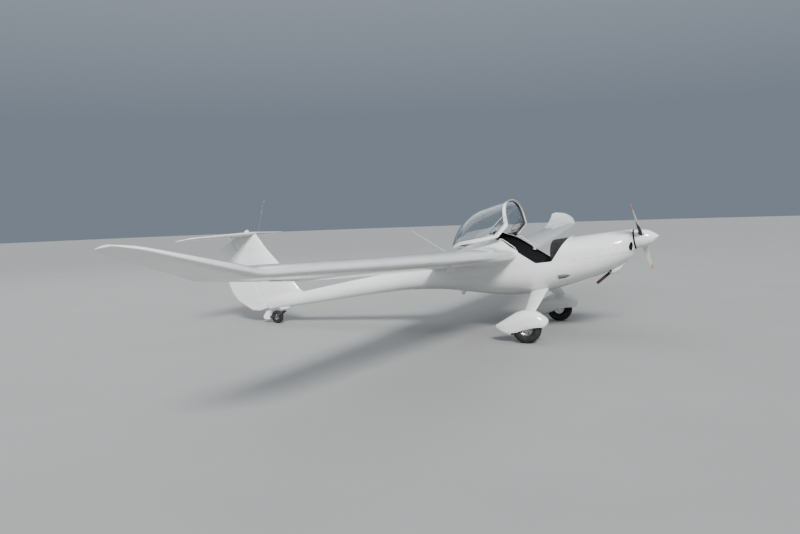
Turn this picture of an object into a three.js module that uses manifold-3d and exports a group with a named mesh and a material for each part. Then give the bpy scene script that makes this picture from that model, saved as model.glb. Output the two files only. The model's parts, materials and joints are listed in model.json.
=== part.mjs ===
// Two-seat touring motor glider: low wing, T-tail, tailwheel undercarriage, tractor propeller,
// one-piece canopy swung up and back. Millimetres, +Z up, nose towards -Y, starboard towards -X.
//
// Everything is drawn in the level attitude first, in station coordinates:
//   s = distance aft of the spinner's tip, b = distance to starboard, h = height over the thrust line.
// at(s, b, h) gives the level position (-b, s, h). The outer group then pitches the nose up so that
// the main wheels and the tailwheel all stand on Z = 0.
import * as THREE from 'three';
import { mergeVertices } from 'three/addons/utils/BufferGeometryUtils.js';
import Module from 'manifold-3d';

const wasm = await Module();
wasm.setup();

// ------------------------------------------------------------------ driving dimensions
const GAP = 0.3;                                   // between pieces that touch
const RAD = Math.PI / 180;

const PARK_PITCH_DEG = 7.63;                       // nose-up attitude on three wheels
const NOSE_Y = -3321.2, NOSE_Z = 1234.2;           // where the spinner's tip stands, parked

const MAIN_HUB = { s: 1579, b: 960, h: -857 };     // main wheel centre
const MAIN_TYRE_R = 175, MAIN_TYRE_W = 110, MAIN_RIM_R = 88;
const TAIL_HUB = { s: 5690, h: -382 };             // tailwheel centre
const TAIL_TYRE_R = 100, TAIL_TYRE_W = 46, TAIL_RIM_R = 46;
const TAIL_PIVOT_S = 5565;                         // steering axis of the tailwheel

const SKIN = 12;                                   // fuselage sandwich wall
const COWL_SKIN = 7;
const CANOPY_SKIN = 9;
const CANOPY_GAP = 5;                              // between canopy frame and cockpit rim, closed
const CANOPY_BAND = 48;                            // visible width of the canopy frame
const CANOPY_POLE = { s: 2170, h: -450 };          // turning it about this point takes the closed canopy to its open place
const CANOPY_OPEN_DEG = 43;
// canopy arm: pivot on the sill, eye on the closed canopy's front corner; plates and pins beside it
const LINK = { pivot: [1690.7, 81.3], eye: [1481.5, -107.5], b: 470, r: 5, bow: 24, pinR: 4, holeR: 5, pin0: 461, plate0: 481, plate1: 493 };

const COWL_FRONT_S = 296, FIREWALL_S = 1030, BULKHEAD_S = 2180, POD_END_S = 2700, BOOM_END_S = 5842;

const PROP_R = 800, PROP_HUB_S = 200, PROP_ANGLE_DEG = 57;
const SPINNER_R = 118, SPINNER_BASE_S = 283;

// ------------------------------------------------------------------ colours
const WHITE = { color: 0xf1f1ee, roughness: 0.22, metalness: 0.0 };
const BLACK = { color: 0x151515, roughness: 0.8, metalness: 0.0 };
const RUBBER = { color: 0x1b1b1c, roughness: 0.9, metalness: 0.0 };
const METAL = { color: 0xb4b6b8, roughness: 0.4, metalness: 0.9 };
const DARK_METAL = { color: 0x4a4846, roughness: 0.6, metalness: 0.7 };
const FABRIC = { color: 0x24262b, roughness: 0.95, metalness: 0.0 };
const ORANGE = { color: 0xd9772b, roughness: 0.4, metalness: 0.0 };
const GLASS = { color: 0x8fa3a6, roughness: 0.05, metalness: 0.0, transparent: true, opacity: 0.35 };

const level = new THREE.Group();                   // level attitude
level.rotation.x = -PARK_PITCH_DEG * RAD;
level.position.set(0, NOSE_Y, NOSE_Z);
const aircraft = new THREE.Group();
aircraft.add(level);

const names = new Set();
function piece(name, geometry, look, parent = level) {
  if (names.has(name)) throw new Error('two pieces named ' + name);
  names.add(name);
  const mesh = new THREE.Mesh(geometry, new THREE.MeshStandardMaterial(look));
  mesh.name = name;
  parent.add(mesh);
  return mesh;
}
const at = (s, b, h) => new THREE.Vector3(-b, s, h);

// ------------------------------------------------------------------ solids helpers
function solid(geometry) {
  let g = geometry.clone();
  for (const n of Object.keys(g.attributes)) if (n !== 'position') g.deleteAttribute(n);
  g = mergeVertices(g, 1e-4);
  const mesh = new wasm.Mesh({
    numProp: 3,
    vertProperties: new Float32Array(g.attributes.position.array),
    triVerts: new Uint32Array(g.index.array),
  });
  return new wasm.Manifold(mesh);
}
function shape(manifold) {
  const m = manifold.getMesh();
  const g = new THREE.BufferGeometry();
  const p = new Float32Array(m.numVert * 3);
  for (let i = 0; i < m.numVert; i++) for (let k = 0; k < 3; k++) p[i * 3 + k] = m.vertProperties[i * m.numProp + k];
  g.setAttribute('position', new THREE.BufferAttribute(p, 3));
  g.setIndex(new THREE.BufferAttribute(new Uint32Array(m.triVerts), 1));
  return g;
}
// A closed body through rings of equal length; each end is closed by a fan.
function loft(rings) {
  const n = rings[0].length, pos = [], idx = [];
  rings.forEach((r) => r.forEach((v) => pos.push(v.x, v.y, v.z)));
  for (let i = 0; i + 1 < rings.length; i++)
    for (let j = 0; j < n; j++) {
      const a = i * n + j, b = i * n + (j + 1) % n, c = a + n, d = b + n;
      idx.push(a, b, d, a, d, c);
    }
  for (const [ring, base, flip] of [[rings[0], 0, true], [rings[rings.length - 1], (rings.length - 1) * n, false]]) {
    const c = ring.reduce((t, v) => t.add(v), new THREE.Vector3()).multiplyScalar(1 / n);
    const k = pos.length / 3;
    pos.push(c.x, c.y, c.z);
    for (let j = 0; j < n; j++) {
      const a = base + j, b = base + (j + 1) % n;
      if (flip) idx.push(k, b, a); else idx.push(k, a, b);
    }
  }
  const g = new THREE.BufferGeometry();
  g.setAttribute('position', new THREE.Float32BufferAttribute(pos, 3));
  g.setIndex(idx);
  // turn the faces outwards if the rings ran the other way round
  let vol = 0;
  const P = (i) => new THREE.Vector3(pos[3 * i], pos[3 * i + 1], pos[3 * i + 2]);
  for (let i = 0; i < idx.length; i += 3) vol += P(idx[i]).dot(P(idx[i + 1]).cross(P(idx[i + 2])));
  if (vol < 0) {
    const f = [];
    for (let i = 0; i < idx.length; i += 3) f.push(idx[i], idx[i + 2], idx[i + 1]);
    g.setIndex(f);
  }
  return g;
}
function block(s0, s1, b0, b1, h0, h1) {
  const g = new THREE.BoxGeometry(Math.abs(b1 - b0), Math.abs(s1 - s0), Math.abs(h1 - h0));
  g.translate(-(b0 + b1) / 2, (s0 + s1) / 2, (h0 + h1) / 2);
  return g;
}
// A prism across the aircraft: outline in (s, h), from b0 to b1.
function slab(outline, b0, b1) {
  const sh = new THREE.Shape(outline.map(([s, h]) => new THREE.Vector2(s, h)));
  const g = new THREE.ExtrudeGeometry(sh, { depth: Math.abs(b1 - b0), bevelEnabled: false, curveSegments: 8 });
  // extrude frame (x, y, z) = (s, h, depth) -> level (X, Y, Z) = (depth - max b, s, h)
  g.applyMatrix4(new THREE.Matrix4().set(0, 0, 1, -Math.max(b0, b1), 1, 0, 0, 0, 0, 1, 0, 0, 0, 0, 0, 1));
  return g;
}
// A round bar between two level points.
function bar(p, q, r, segs = 12) {
  const d = q.clone().sub(p), g = new THREE.CylinderGeometry(r, r, d.length(), segs);
  g.applyQuaternion(new THREE.Quaternion().setFromUnitVectors(new THREE.Vector3(0, 1, 0), d.clone().normalize()));
  g.translate((p.x + q.x) / 2, (p.y + q.y) / 2, (p.z + q.z) / 2);
  return g;
}
const curveThrough = (pts) => new THREE.CatmullRomCurve3(pts, false, 'catmullrom', 0.5);
function tube(points, r, steps, sides = 8) {
  const sh = new THREE.Shape();
  for (let i = 0; i < sides; i++) {
    const a = (i / sides) * 2 * Math.PI;
    if (i === 0) sh.moveTo(r * Math.cos(a), r * Math.sin(a)); else sh.lineTo(r * Math.cos(a), r * Math.sin(a));
  }
  sh.closePath();
  return new THREE.ExtrudeGeometry(sh, { steps, extrudePath: curveThrough(points), bevelEnabled: false });
}
// Smooth value from a table's column at station x (monotone between the rows it has).
function column(table, x, key, at_ = 's') {
  const n = table.length;
  if (x <= table[0][at_]) return table[0][key];
  if (x >= table[n - 1][at_]) return table[n - 1][key];
  let i = 0;
  while (table[i + 1][at_] < x) i++;
  const slope = (a, b) => (table[b][key] - table[a][key]) / (table[b][at_] - table[a][at_]);
  const m0 = slope(i, i + 1);
  const tan = (k) => {
    if (k === 0 || k === n - 1) return m0;
    const l = slope(k - 1, k), r = slope(k, k + 1);
    return l * r <= 0 ? 0 : (2 * l * r) / (l + r);
  };
  const w = table[i + 1][at_] - table[i][at_], t = (x - table[i][at_]) / w;
  const a = tan(i), b = tan(i + 1), y0 = table[i][key], y1 = table[i + 1][key];
  return y0 * (2 * t ** 3 - 3 * t ** 2 + 1) + a * w * (t ** 3 - 2 * t ** 2 + t) + y1 * (3 * t ** 2 - 2 * t ** 3) + b * w * (t ** 3 - t ** 2);
}

// ------------------------------------------------------------------ fuselage lines
// s station, top and bottom heights, half width w, height hm of the widest point,
// and the roundness of the upper (nu) and lower (nl) halves (2 = ellipse, more = boxier).
const HULL = [
  { s: 296, top: 128, bot: -132, w: 140, hm: -4, nu: 2.0, nl: 2.0 },
  { s: 318, top: 130, bot: -168, w: 205, hm: -14, nu: 2.1, nl: 2.1 },
  { s: 350, top: 132, bot: -214, w: 252, hm: -26, nu: 2.2, nl: 2.2 },
  { s: 420, top: 136, bot: -262, w: 302, hm: -42, nu: 2.3, nl: 2.3 },
  { s: 600, top: 143, bot: -332, w: 358, hm: -66, nu: 2.4, nl: 2.4 },
  { s: 800, top: 148, bot: -392, w: 402, hm: -82, nu: 2.4, nl: 2.4 },
  { s: 1000, top: 150, bot: -430, w: 444, hm: -96, nu: 2.4, nl: 2.4 },
  { s: 1060, top: 168, bot: -441, w: 457, hm: -100, nu: 2.4, nl: 2.4 },
  { s: 1200, top: 262, bot: -464, w: 487, hm: -112, nu: 2.4, nl: 2.4 },
  { s: 1320, top: 344, bot: -482, w: 508, hm: -122, nu: 2.4, nl: 2.4 },
  { s: 1450, top: 422, bot: -496, w: 524, hm: -130, nu: 2.35, nl: 2.4 },
  { s: 1570, top: 469, bot: -504, w: 532, hm: -130, nu: 2.3, nl: 2.4 },
  { s: 1710, top: 491, bot: -508, w: 534, hm: -126, nu: 2.3, nl: 2.4 },
  { s: 1860, top: 472, bot: -501, w: 528, hm: -118, nu: 2.3, nl: 2.35 },
  { s: 2050, top: 410, bot: -478, w: 506, hm: -104, nu: 2.25, nl: 2.3 },
  { s: 2300, top: 318, bot: -432, w: 448, hm: -88, nu: 2.2, nl: 2.2 },
  { s: 2600, top: 222, bot: -366, w: 352, hm: -76, nu: 2.1, nl: 2.1 },
  { s: 2900, top: 145, bot: -306, w: 262, hm: -76, nu: 2.0, nl: 2.0 },
  { s: 3200, top: 84, bot: -268, w: 200, hm: -84, nu: 2.0, nl: 2.0 },
  { s: 3600, top: 40, bot: -240, w: 156, hm: -96, nu: 2.0, nl: 2.0 },
  { s: 4200, top: 10, bot: -238, w: 126, hm: -112, nu: 2.0, nl: 2.0 },
  { s: 4800, top: -28, bot: -249, w: 104, hm: -136, nu: 2.0, nl: 2.0 },
  { s: 5300, top: -62, bot: -254, w: 84, hm: -156, nu: 2.0, nl: 2.0 },
  { s: 5600, top: -84, bot: -258, w: 66, hm: -168, nu: 2.0, nl: 2.0 },
  { s: 5842, top: -104, bot: -262, w: 40, hm: -180, nu: 2.0, nl: 2.0 },
];
const HULL_POINTS = 28;
function hullRing(s, inset = 0) {
  const v = (k) => column(HULL, s, k);
  const top = v('top') - inset, bot = v('bot') + inset, w = v('w') - inset, hm = v('hm'), ring = [];
  for (let i = 0; i < HULL_POINTS; i++) {
    const a = (i / HULL_POINTS) * 2 * Math.PI, c = Math.cos(a), d = Math.sin(a);
    const n = d >= 0 ? v('nu') : v('nl'), span = d >= 0 ? top - hm : hm - bot;
    const x = w * Math.sign(c) * Math.abs(c) ** (2 / n), z = hm + span * Math.sign(d) * Math.abs(d) ** (2 / n);
    ring.push(new THREE.Vector3(-x, s, z));
  }
  return ring;
}
const hull = (stations, inset = 0) => solid(loft(stations.map((s) => hullRing(s, inset))));
const COWL_STATIONS = [296, 310, 335, 380, 470, 620, 820, FIREWALL_S - GAP];
const POD_STATIONS = [FIREWALL_S, 1060, 1160, 1280, 1400, 1540, 1700, 1860, 2020, 2180, 2360, 2540, POD_END_S];
const BOOM_STATIONS = [POD_END_S + GAP, 2900, 3050, 3200, 3400, 3700, 4200, 4800, 5300, 5600, BOOM_END_S];

// ------------------------------------------------------------------ canopy outline, closed
const RIM = [            // cockpit rim seen from the side, (s, h), from the windscreen's foot aft
  [985, 247],            // windscreen arch line, carried on over the top
  [1267, -108], [1465, -100], [1645, 48], [1868, 248], [2012, 335],
  [2122, 500],           // rear bow line, carried on over the top
];
function offsetChain(chain, d) {     // moves an open chain of lines sideways, to its upper side for d > 0
  const lines = [];
  for (let i = 0; i + 1 < chain.length; i++) {
    const [x0, y0] = chain[i], [x1, y1] = chain[i + 1], l = Math.hypot(x1 - x0, y1 - y0);
    const nx = -(y1 - y0) / l, ny = (x1 - x0) / l;
    lines.push([x0 + nx * d, y0 + ny * d, x1 + nx * d, y1 + ny * d]);
  }
  const out = [[lines[0][0], lines[0][1]]];
  for (let i = 0; i + 1 < lines.length; i++) {
    const [a, b, c, e] = lines[i], [p, q, r, t] = lines[i + 1];
    const dx1 = c - a, dy1 = e - b, dx2 = r - p, dy2 = t - q, k = ((p - a) * dy2 - (q - b) * dx2) / (dx1 * dy2 - dy1 * dx2);
    out.push([a + dx1 * k, b + dy1 * k]);
  }
  const z = lines[lines.length - 1];
  out.push([z[2], z[3]]);
  return out;
}
const over = (chain) => [...chain, [chain[chain.length - 1][0], 800], [chain[0][0], 800]];
const rimPrism = (d) => solid(slab(over(offsetChain(RIM, d)), -700, 700));

// ------------------------------------------------------------------ fuselage pod, boom and cowlings
const CABIN_STATIONS = [FIREWALL_S - 1, 1060, 1160, 1280, 1400, 1540, 1700, 1860, 2020, 2180, 2360, 2540, POD_END_S - SKIN];
const podOuter = hull(POD_STATIONS);
const podCavity = hull(CABIN_STATIONS, SKIN);
const cockpitOpening = rimPrism(-CANOPY_GAP);
let podShell = podOuter.subtract(podCavity).subtract(cockpitOpening);
for (const side of [-1, 1]) {                                    // plates and pins of the canopy arms, on the sill
  podShell = podShell
    .add(solid(slab([[1668, 34], [1712, 54], [1706, 88], [1692, 94], [1676, 88]], side * LINK.plate0, side * LINK.plate1)))
    .add(solid(slab([[1668, 34], [1712, 54], [1710, 68], [1670, 58]], side * LINK.plate0, side * 514)))
    .add(solid(bar(at(LINK.pivot[0], side * LINK.pin0, LINK.pivot[1]), at(LINK.pivot[0], side * (LINK.plate0 + 4), LINK.pivot[1]), LINK.pinR, 10)));
}
piece('fuselage_shell', shape(podShell), WHITE);

const boomSolid = hull(BOOM_STATIONS);

const cowlOuter = hull(COWL_STATIONS);
const cowlInner = hull([COWL_FRONT_S + 10, 335, 380, 470, 620, 820, FIREWALL_S + 5], COWL_SKIN);
const SPLIT_H = -140;                                            // joint line of the two cowlings
let cowlShell = cowlOuter.subtract(cowlInner);
const shaftHole = new THREE.CylinderGeometry(62, 62, 60, 16);
shaftHole.translate(0, COWL_FRONT_S, 0);
cowlShell = cowlShell.subtract(solid(shaftHole));
for (const side of [-1, 1]) {                                    // cheek inlets beside the spinner
  const inlet = new THREE.CylinderGeometry(1, 1, 160, 14);
  inlet.scale(46, 1, 50);
  inlet.translate(-side * 196, 340, -74);
  cowlShell = cowlShell.subtract(solid(inlet));
}
cowlShell = cowlShell.subtract(solid(block(560, 640, -85, 85, -420, -300)));
piece('upper_cowling', shape(cowlShell.intersect(solid(block(200, 1100, -700, 700, SPLIT_H + GAP / 2, 600)))), WHITE);
const lowerCowl = cowlShell.intersect(solid(block(200, 1100, -700, 700, -700, SPLIT_H - GAP / 2)));
// outlet lip under the cowling, open to the rear
const LIP = [ // s, half width, top height, bottom height
  { s: 425, w: 60, top: -250, bot: -266 },
  { s: 470, w: 92, top: -268, bot: -312 },
  { s: 520, w: 108, top: -288, bot: -368 },
  { s: 570, w: 112, top: -300, bot: -390 },
  { s: 614, w: 112, top: -312, bot: -402 },
];
const lipRing = (r, t) => {
  const ring = [];
  for (let i = 0; i < 16; i++) {
    const a = (i / 16) * 2 * Math.PI, c = Math.cos(a), d = Math.sin(a);
    const mid = r.top - 20, span = d >= 0 ? 20 - t : mid - r.bot - t;
    ring.push(new THREE.Vector3((r.w - t) * Math.sign(c) * Math.abs(c) ** 0.7, r.s, mid + span * Math.sign(d) * Math.abs(d) ** 0.7));
  }
  return ring;
};
const lipOuter = solid(loft(LIP.map((r) => lipRing(r, 0))));
const lipInner = solid(loft([...LIP.slice(1).map((r) => lipRing(r, 6)), lipRing({ ...LIP[4], s: 640 }, 6)]));
const lipShell = lipOuter.subtract(lipInner).subtract(cowlInner);
piece('lower_cowling', shape(lowerCowl.subtract(lipInner).add(lipShell)), WHITE);

// ------------------------------------------------------------------ wings
// b span station, sLE leading edge, sTE trailing edge, hLE and hTE their heights, tc thickness ratio
const WING = [
  { b: 200, sLE: 1676, sTE: 2948, hLE: 17, hTE: -8, tc: 0.172 },
  { b: 530, sLE: 1690, sTE: 2932, hLE: 34, hTE: 6, tc: 0.172 },
  { b: 2600, sLE: 1840, sTE: 2830, hLE: 139, hTE: 105, tc: 0.168 },
  { b: 4000, sLE: 1942, sTE: 2770, hLE: 211, hTE: 178, tc: 0.162 },
  { b: 5400, sLE: 2043, sTE: 2690, hLE: 284, hTE: 299, tc: 0.155 },
  { b: 5600, sLE: 2062, sTE: 2682, hLE: 296, hTE: 320, tc: 0.152 },
  { b: 5800, sLE: 2086, sTE: 2664, hLE: 338, hTE: 378, tc: 0.150 },
  { b: 6100, sLE: 2160, sTE: 2664, hLE: 424, hTE: 460, tc: 0.140 },
  { b: 6300, sLE: 2256, sTE: 2666, hLE: 498, hTE: 524, tc: 0.125 },
  { b: 6420, sLE: 2372, sTE: 2668, hLE: 560, hTE: 566, tc: 0.11 },
  { b: 6500, sLE: 2530, sTE: 2670, hLE: 607, hTE: 604, tc: 0.09 },
];
const CAMBER = 0.042, CAMBER_AT = 0.4, FOIL_STEPS = 10;
function foil(tc) {          // (x, y) round a cambered section from the trailing edge over the top
  const pts = [], thick = (x) => 5 * tc * (0.2969 * Math.sqrt(x) - 0.126 * x - 0.3516 * x * x + 0.2843 * x ** 3 - 0.1015 * x ** 4) + 0.0008;
  const mean = (x) => (x < CAMBER_AT ? (CAMBER / CAMBER_AT ** 2) * (2 * CAMBER_AT * x - x * x) : (CAMBER / (1 - CAMBER_AT) ** 2) * (1 - 2 * CAMBER_AT + 2 * CAMBER_AT * x - x * x));
  for (let i = 0; i <= FOIL_STEPS; i++) { const x = 0.5 * (1 + Math.cos((Math.PI * i) / FOIL_STEPS)); pts.push([x, mean(x) + thick(x)]); }
  for (let i = FOIL_STEPS - 1; i >= 0; i--) { const x = 0.5 * (1 + Math.cos((Math.PI * i) / FOIL_STEPS)); pts.push([x, mean(x) - thick(x)]); }
  return pts;
}
function wingRing(b, side) {
  const r = (k) => column(WING, b, k, 'b');
  const s0 = r('sLE'), s1 = r('sTE'), h0 = r('hLE'), h1 = r('hTE'), c = s1 - s0;
  return foil(r('tc')).map(([x, y]) => at(s0 + x * c, side * b, h0 + x * (h1 - h0) + y * c));
}
const WING_STATIONS = [200, 530, 2600, 4000, 5400, 5500, 5600, 5700, 5800, 5950, 6100, 6300, 6420, 6470, 6500];
// the wing is straight between the stations 'from' and 'to', so the hinge line is too
const AILERON = { b0: 4020, b1: 5380, from: 4000, to: 5400, hinge: 0.775, end: 8 };
const NOSE_INSET = 1.5, NOSE_ROOM = 7.5;      // a control surface's nose inside its skin line, and the recess outside it
function chordPoint(b, side, x) {    // on the mean line at x of the chord, with the half thickness there
  const r = (k) => column(WING, b, k, 'b'), c = r('sTE') - r('sLE'), f = foil(r('tc'));
  const up = f.slice(0, FOIL_STEPS + 1).reverse(), low = f.slice(FOIL_STEPS);
  const y = (line) => { let i = 0; while (i + 2 < line.length && line[i + 1][0] < x) i++; const [x0, y0] = line[i], [x1, y1] = line[i + 1]; return y0 + ((x - x0) / (x1 - x0)) * (y1 - y0); };
  const top = y(up), bottom = y([...low].sort((p, q) => p[0] - q[0]));
  return { p: at(r('sLE') + x * c, side * b, r('hLE') + x * (r('hTE') - r('hLE')) + ((top + bottom) / 2) * c), half: ((top - bottom) / 2) * c };
}
// A round nose along a hinge line: rings round the centres, square to the line.
function noseLoft(rows, grow, segs = 14) {
  const dir = rows[rows.length - 1].p.clone().sub(rows[0].p).normalize();
  const u = new THREE.Vector3(0, 1, 0).cross(dir).normalize(), v = dir.clone().cross(u);
  return solid(loft(rows.map(({ p, r }) => {
    const ring = [];
    for (let i = 0; i < segs; i++) { const a = (i / segs) * 2 * Math.PI; ring.push(p.clone().addScaledVector(u, (r + grow) * Math.cos(a)).addScaledVector(v, (r + grow) * Math.sin(a))); }
    return ring;
  })));
}
const noseRow = (b, side) => {
  const u = chordPoint(AILERON.from, side, AILERON.hinge), v = chordPoint(AILERON.to, side, AILERON.hinge), t = (b - AILERON.from) / (AILERON.to - AILERON.from);
  return { p: u.p.clone().lerp(v.p, t), r: u.half + t * (v.half - u.half) };
};
const bodyGrown = hull([...POD_STATIONS, ...BOOM_STATIONS, BOOM_END_S + 2 * GAP], -GAP);
for (const side of [-1, 1]) {
  const word = side > 0 ? 'right' : 'left';
  const whole = solid(loft(WING_STATIONS.map((b) => wingRing(b, side)))).subtract(bodyGrown);
  const bay = (b0, b1, front) => {   // everything behind the hinge line between two stations
    const f = (b) => { const { p } = noseRow(b, side); return [[front, 200], [600, 200], [600, -200], [front, -200]].map(([ds, dh]) => at(p.y + ds, side * b, p.z + dh)); };
    return solid(loft([f(b0), f(b1)]));
  };
  const { b0, b1, end } = AILERON;
  const flap = whole.intersect(bay(b0 + end, b1 - end, 0).add(noseLoft([noseRow(b0 + end, side), noseRow(b1 - end, side)], -NOSE_INSET)));
  piece('aileron_' + word, shape(flap), WHITE);
  piece('wing_' + word, shape(whole.subtract(bay(b0, b1, -1)).subtract(noseLoft([noseRow(b0, side), noseRow(b1, side)], NOSE_ROOM))), WHITE);
}

// ------------------------------------------------------------------ fin and rudder
// h height, sLE leading edge, sH hinge line, sTE trailing edge
const FIN = [ // h height, sLE leading edge of the fin, sTE trailing edge of the rudder, tc thickness ratio
  { h: -300, sLE: 4990, sTE: 6340, tc: 0.066 },
  { h: -200, sLE: 5080, sTE: 6340, tc: 0.074 },
  { h: -60, sLE: 5190, sTE: 6345, tc: 0.090 },
  { h: 80, sLE: 5274, sTE: 6432, tc: 0.100 },
  { h: 420, sLE: 5507, sTE: 6520, tc: 0.115 },
  { h: 700, sLE: 5710, sTE: 6588, tc: 0.115 },
  { h: 944, sLE: 5850, sTE: 6616, tc: 0.115 },
];
const symHalf = (x, c, tc) => 5 * tc * c * (0.2969 * Math.sqrt(x) - 0.126 * x - 0.3516 * x * x + 0.2843 * x ** 3 - 0.1015 * x ** 4) + 0.9;
function symmetricRing(place, sLE, sTE, tc, n = 8) {      // place(s, t): t = half thickness offset
  const c = sTE - sLE, ring = [];
  for (let i = 0; i <= n; i++) { const x = 0.5 * (1 + Math.cos((Math.PI * i) / n)); ring.push(place(sLE + x * c, symHalf(x, c, tc))); }
  for (let i = n - 1; i >= 0; i--) { const x = 0.5 * (1 + Math.cos((Math.PI * i) / n)); ring.push(place(sLE + x * c, -symHalf(x, c, tc))); }
  return ring;
}
const finBlank = (rows) => solid(loft(rows.map((r) => symmetricRing((s, t) => at(s, t, r.h), r.sLE, r.sTE, r.tc))));
const finWhole = finBlank(FIN.slice(1));
const HINGE_LOW = [5842, -200], HINGE_TOP = [6310, 912];
const hingeS = (h) => HINGE_LOW[0] + ((h - HINGE_LOW[1]) / (HINGE_TOP[1] - HINGE_LOW[1])) * (HINGE_TOP[0] - HINGE_LOW[0]);
const behindHinge = (front, top, low) => solid(slab([[hingeS(low) + front, low], [7000, low], [7000, top], [hingeS(top) + front, top]], -200, 200));
const rudderNose = (grow) => noseLoft([{ ...FIN[0], h: -400 }, ...FIN].map((r) => {
  const c = r.sTE - r.sLE, s = hingeS(Math.max(r.h, FIN[0].h));
  return { p: at(hingeS(r.h), 0, r.h), r: symHalf((s - r.sLE) / c, c, r.tc) };
}), grow);
const RUDDER_TOP = 884, RUDDER_LOW = -226;
// what the rudder needs free: behind the hinge line and round its nose
const rudderRoom = behindHinge(-1, 1200, -600).add(rudderNose(NOSE_ROOM));

// tailplane and elevator
const TAIL_H = 944;
const TAILPLANE = [ // b, sLE, sTE, thickness ratio
  { b: 0, sLE: 5838, sTE: 6500, tc: 0.105 },
  { b: 900, sLE: 5986, sTE: 6436, tc: 0.105 },
  { b: 1215, sLE: 6062, sTE: 6410, tc: 0.10 },
  { b: 1300, sLE: 6150, sTE: 6330, tc: 0.07 },
];
const stab = (grow) => {
  const rows = [...TAILPLANE.slice(1).map((r) => ({ ...r, b: -r.b })).reverse(), ...TAILPLANE];
  return solid(loft(rows.map((r) => symmetricRing((s, t) => at(s, r.b, TAIL_H + t + Math.sign(t) * grow), r.sLE - grow, r.sTE + grow, r.tc))));
};
const stabWhole = stab(0), stabGrown = stab(0.4);
const ELEV_S = 6262, ELEV_END = 1205, ELEV_END_GAP = 6;
const elevNose = (end, grow) => noseLoft([-end, -900, 0, 900, end].map((b) => {
  const i = Math.abs(b) < 900 ? 0 : 1, p = TAILPLANE[i], q = TAILPLANE[i + 1], t = (Math.abs(b) - p.b) / (q.b - p.b), v = (k) => p[k] + t * (q[k] - p[k]);
  const c = v('sTE') - v('sLE');
  return { p: at(ELEV_S, b, TAIL_H), r: symHalf((ELEV_S - v('sLE')) / c, c, v('tc')) };
}), grow);
const behindElev = (end, front) => solid(block(ELEV_S + front, 6800, -end, end, TAIL_H - 90, TAIL_H + 90));
piece('elevator', shape(stabWhole.intersect(behindElev(ELEV_END, 0).add(elevNose(ELEV_END, -NOSE_INSET)))), WHITE);
piece('tailplane', shape(stabWhole.subtract(behindElev(ELEV_END + ELEV_END_GAP, -1)).subtract(elevNose(ELEV_END + ELEV_END_GAP, NOSE_ROOM))), WHITE);

// the fin stops under the tailplane, lower where the elevator swings over it
const underElevator = solid(block(6216, 7000, -200, 200, 902, 1200));
const finSolid = finWhole.subtract(rudderRoom).subtract(bodyGrown).subtract(stabGrown).subtract(underElevator);
piece('tail_boom', shape(boomSolid.subtract(rudderRoom)), WHITE);
piece('vertical_fin', shape(finSolid), WHITE);

// rudder outline in (s, h)
const RUDDER = [[hingeS(RUDDER_LOW), RUDDER_LOW], [5960, -252], [6100, -232], [6331, -63], [6423, 4], [6479, 259], [6594, 668], [6606, 776], [hingeS(870) + 6, 872], [hingeS(870) - 40, RUDDER_TOP], [hingeS(RUDDER_LOW) - 60, RUDDER_LOW]];
piece('rudder', shape(finBlank(FIN).intersect(solid(slab(RUDDER, -200, 200))).intersect(behindHinge(0, 1200, -600).add(rudderNose(-NOSE_INSET)))), WHITE);

// ------------------------------------------------------------------ main undercarriage
const LEG = [ // b, h centre, s leading and trailing edge, thickness
  { b: 338, h: -470, s0: 1400, s1: 1622, t: 40 },
  { b: 470, h: -510, s0: 1412, s1: 1612, t: 38 },
  { b: 660, h: -574, s0: 1428, s1: 1602, t: 34 },
  { b: 830, h: -632, s0: 1446, s1: 1596, t: 30 },
  { b: 874, h: -660, s0: 1462, s1: 1596, t: 26 },
  { b: 884, h: -720, s0: 1500, s1: 1610, t: 20 },
  { b: 885, h: -800, s0: 1530, s1: 1628, t: 18 },
  { b: 885, h: -884, s0: 1545, s1: 1613, t: 18 },
];
function legRing(i, side) {
  const r = LEG[i], p = LEG[Math.max(0, i - 1)], q = LEG[Math.min(LEG.length - 1, i + 1)];
  const dx = q.b - p.b, dz = q.h - p.h, l = Math.hypot(dx, dz), nx = -dz / l, nz = dx / l, ring = [];
  for (let k = 0; k < 12; k++) {
    const a = (k / 12) * 2 * Math.PI, u = Math.cos(a), v = Math.sin(a);
    const s = (r.s0 + r.s1) / 2 + (u * (r.s1 - r.s0)) / 2, t = (v * r.t) / 2;
    ring.push(at(s, side * (r.b + nx * t), r.h + nz * t));
  }
  return ring;
}
const SPAT = [ // s, top, bottom, half width, widest height
  { s: 1306, top: -774, bot: -800, w: 12 },
  { s: 1322, top: -750, bot: -832, w: 46 },
  { s: 1362, top: -712, bot: -866, w: 76 },
  { s: 1432, top: -660, bot: -880, w: 94 },
  { s: 1510, top: -634, bot: -884, w: 98 },
  { s: 1590, top: -628, bot: -888, w: 98 },
  { s: 1670, top: -642, bot: -898, w: 92 },
  { s: 1780, top: -686, bot: -912, w: 76 },
  { s: 1880, top: -732, bot: -872, w: 52 },
  { s: 1960, top: -768, bot: -800, w: 16 },
];
const SPAT_STATIONS = [1306, 1322, 1362, 1440, 1560, 1680, 1790, 1880, 1960];
function spatRing(s, side, t) {
  const v = (k) => column(SPAT, s, k), top = v('top') - t, bot = v('bot') + t, w = Math.max(4, v('w') - t), mid = bot + 0.42 * (top - bot), ring = [];
  for (let i = 0; i < 18; i++) {
    const a = (i / 18) * 2 * Math.PI, c = Math.cos(a), d = Math.sin(a), n = d >= 0 ? 2.3 : 3.2;
    const span = d >= 0 ? top - mid : mid - bot;
    ring.push(at(s, side * (MAIN_HUB.b + w * Math.sign(c) * Math.abs(c) ** (2 / n)), mid + span * Math.sign(d) * Math.abs(d) ** (2 / n)));
  }
  return ring;
}
const across = (b0, b1, s, h, r, side, segs = 32) => bar(at(s, side * b0, h), at(s, side * b1, h), r, segs);
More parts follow.
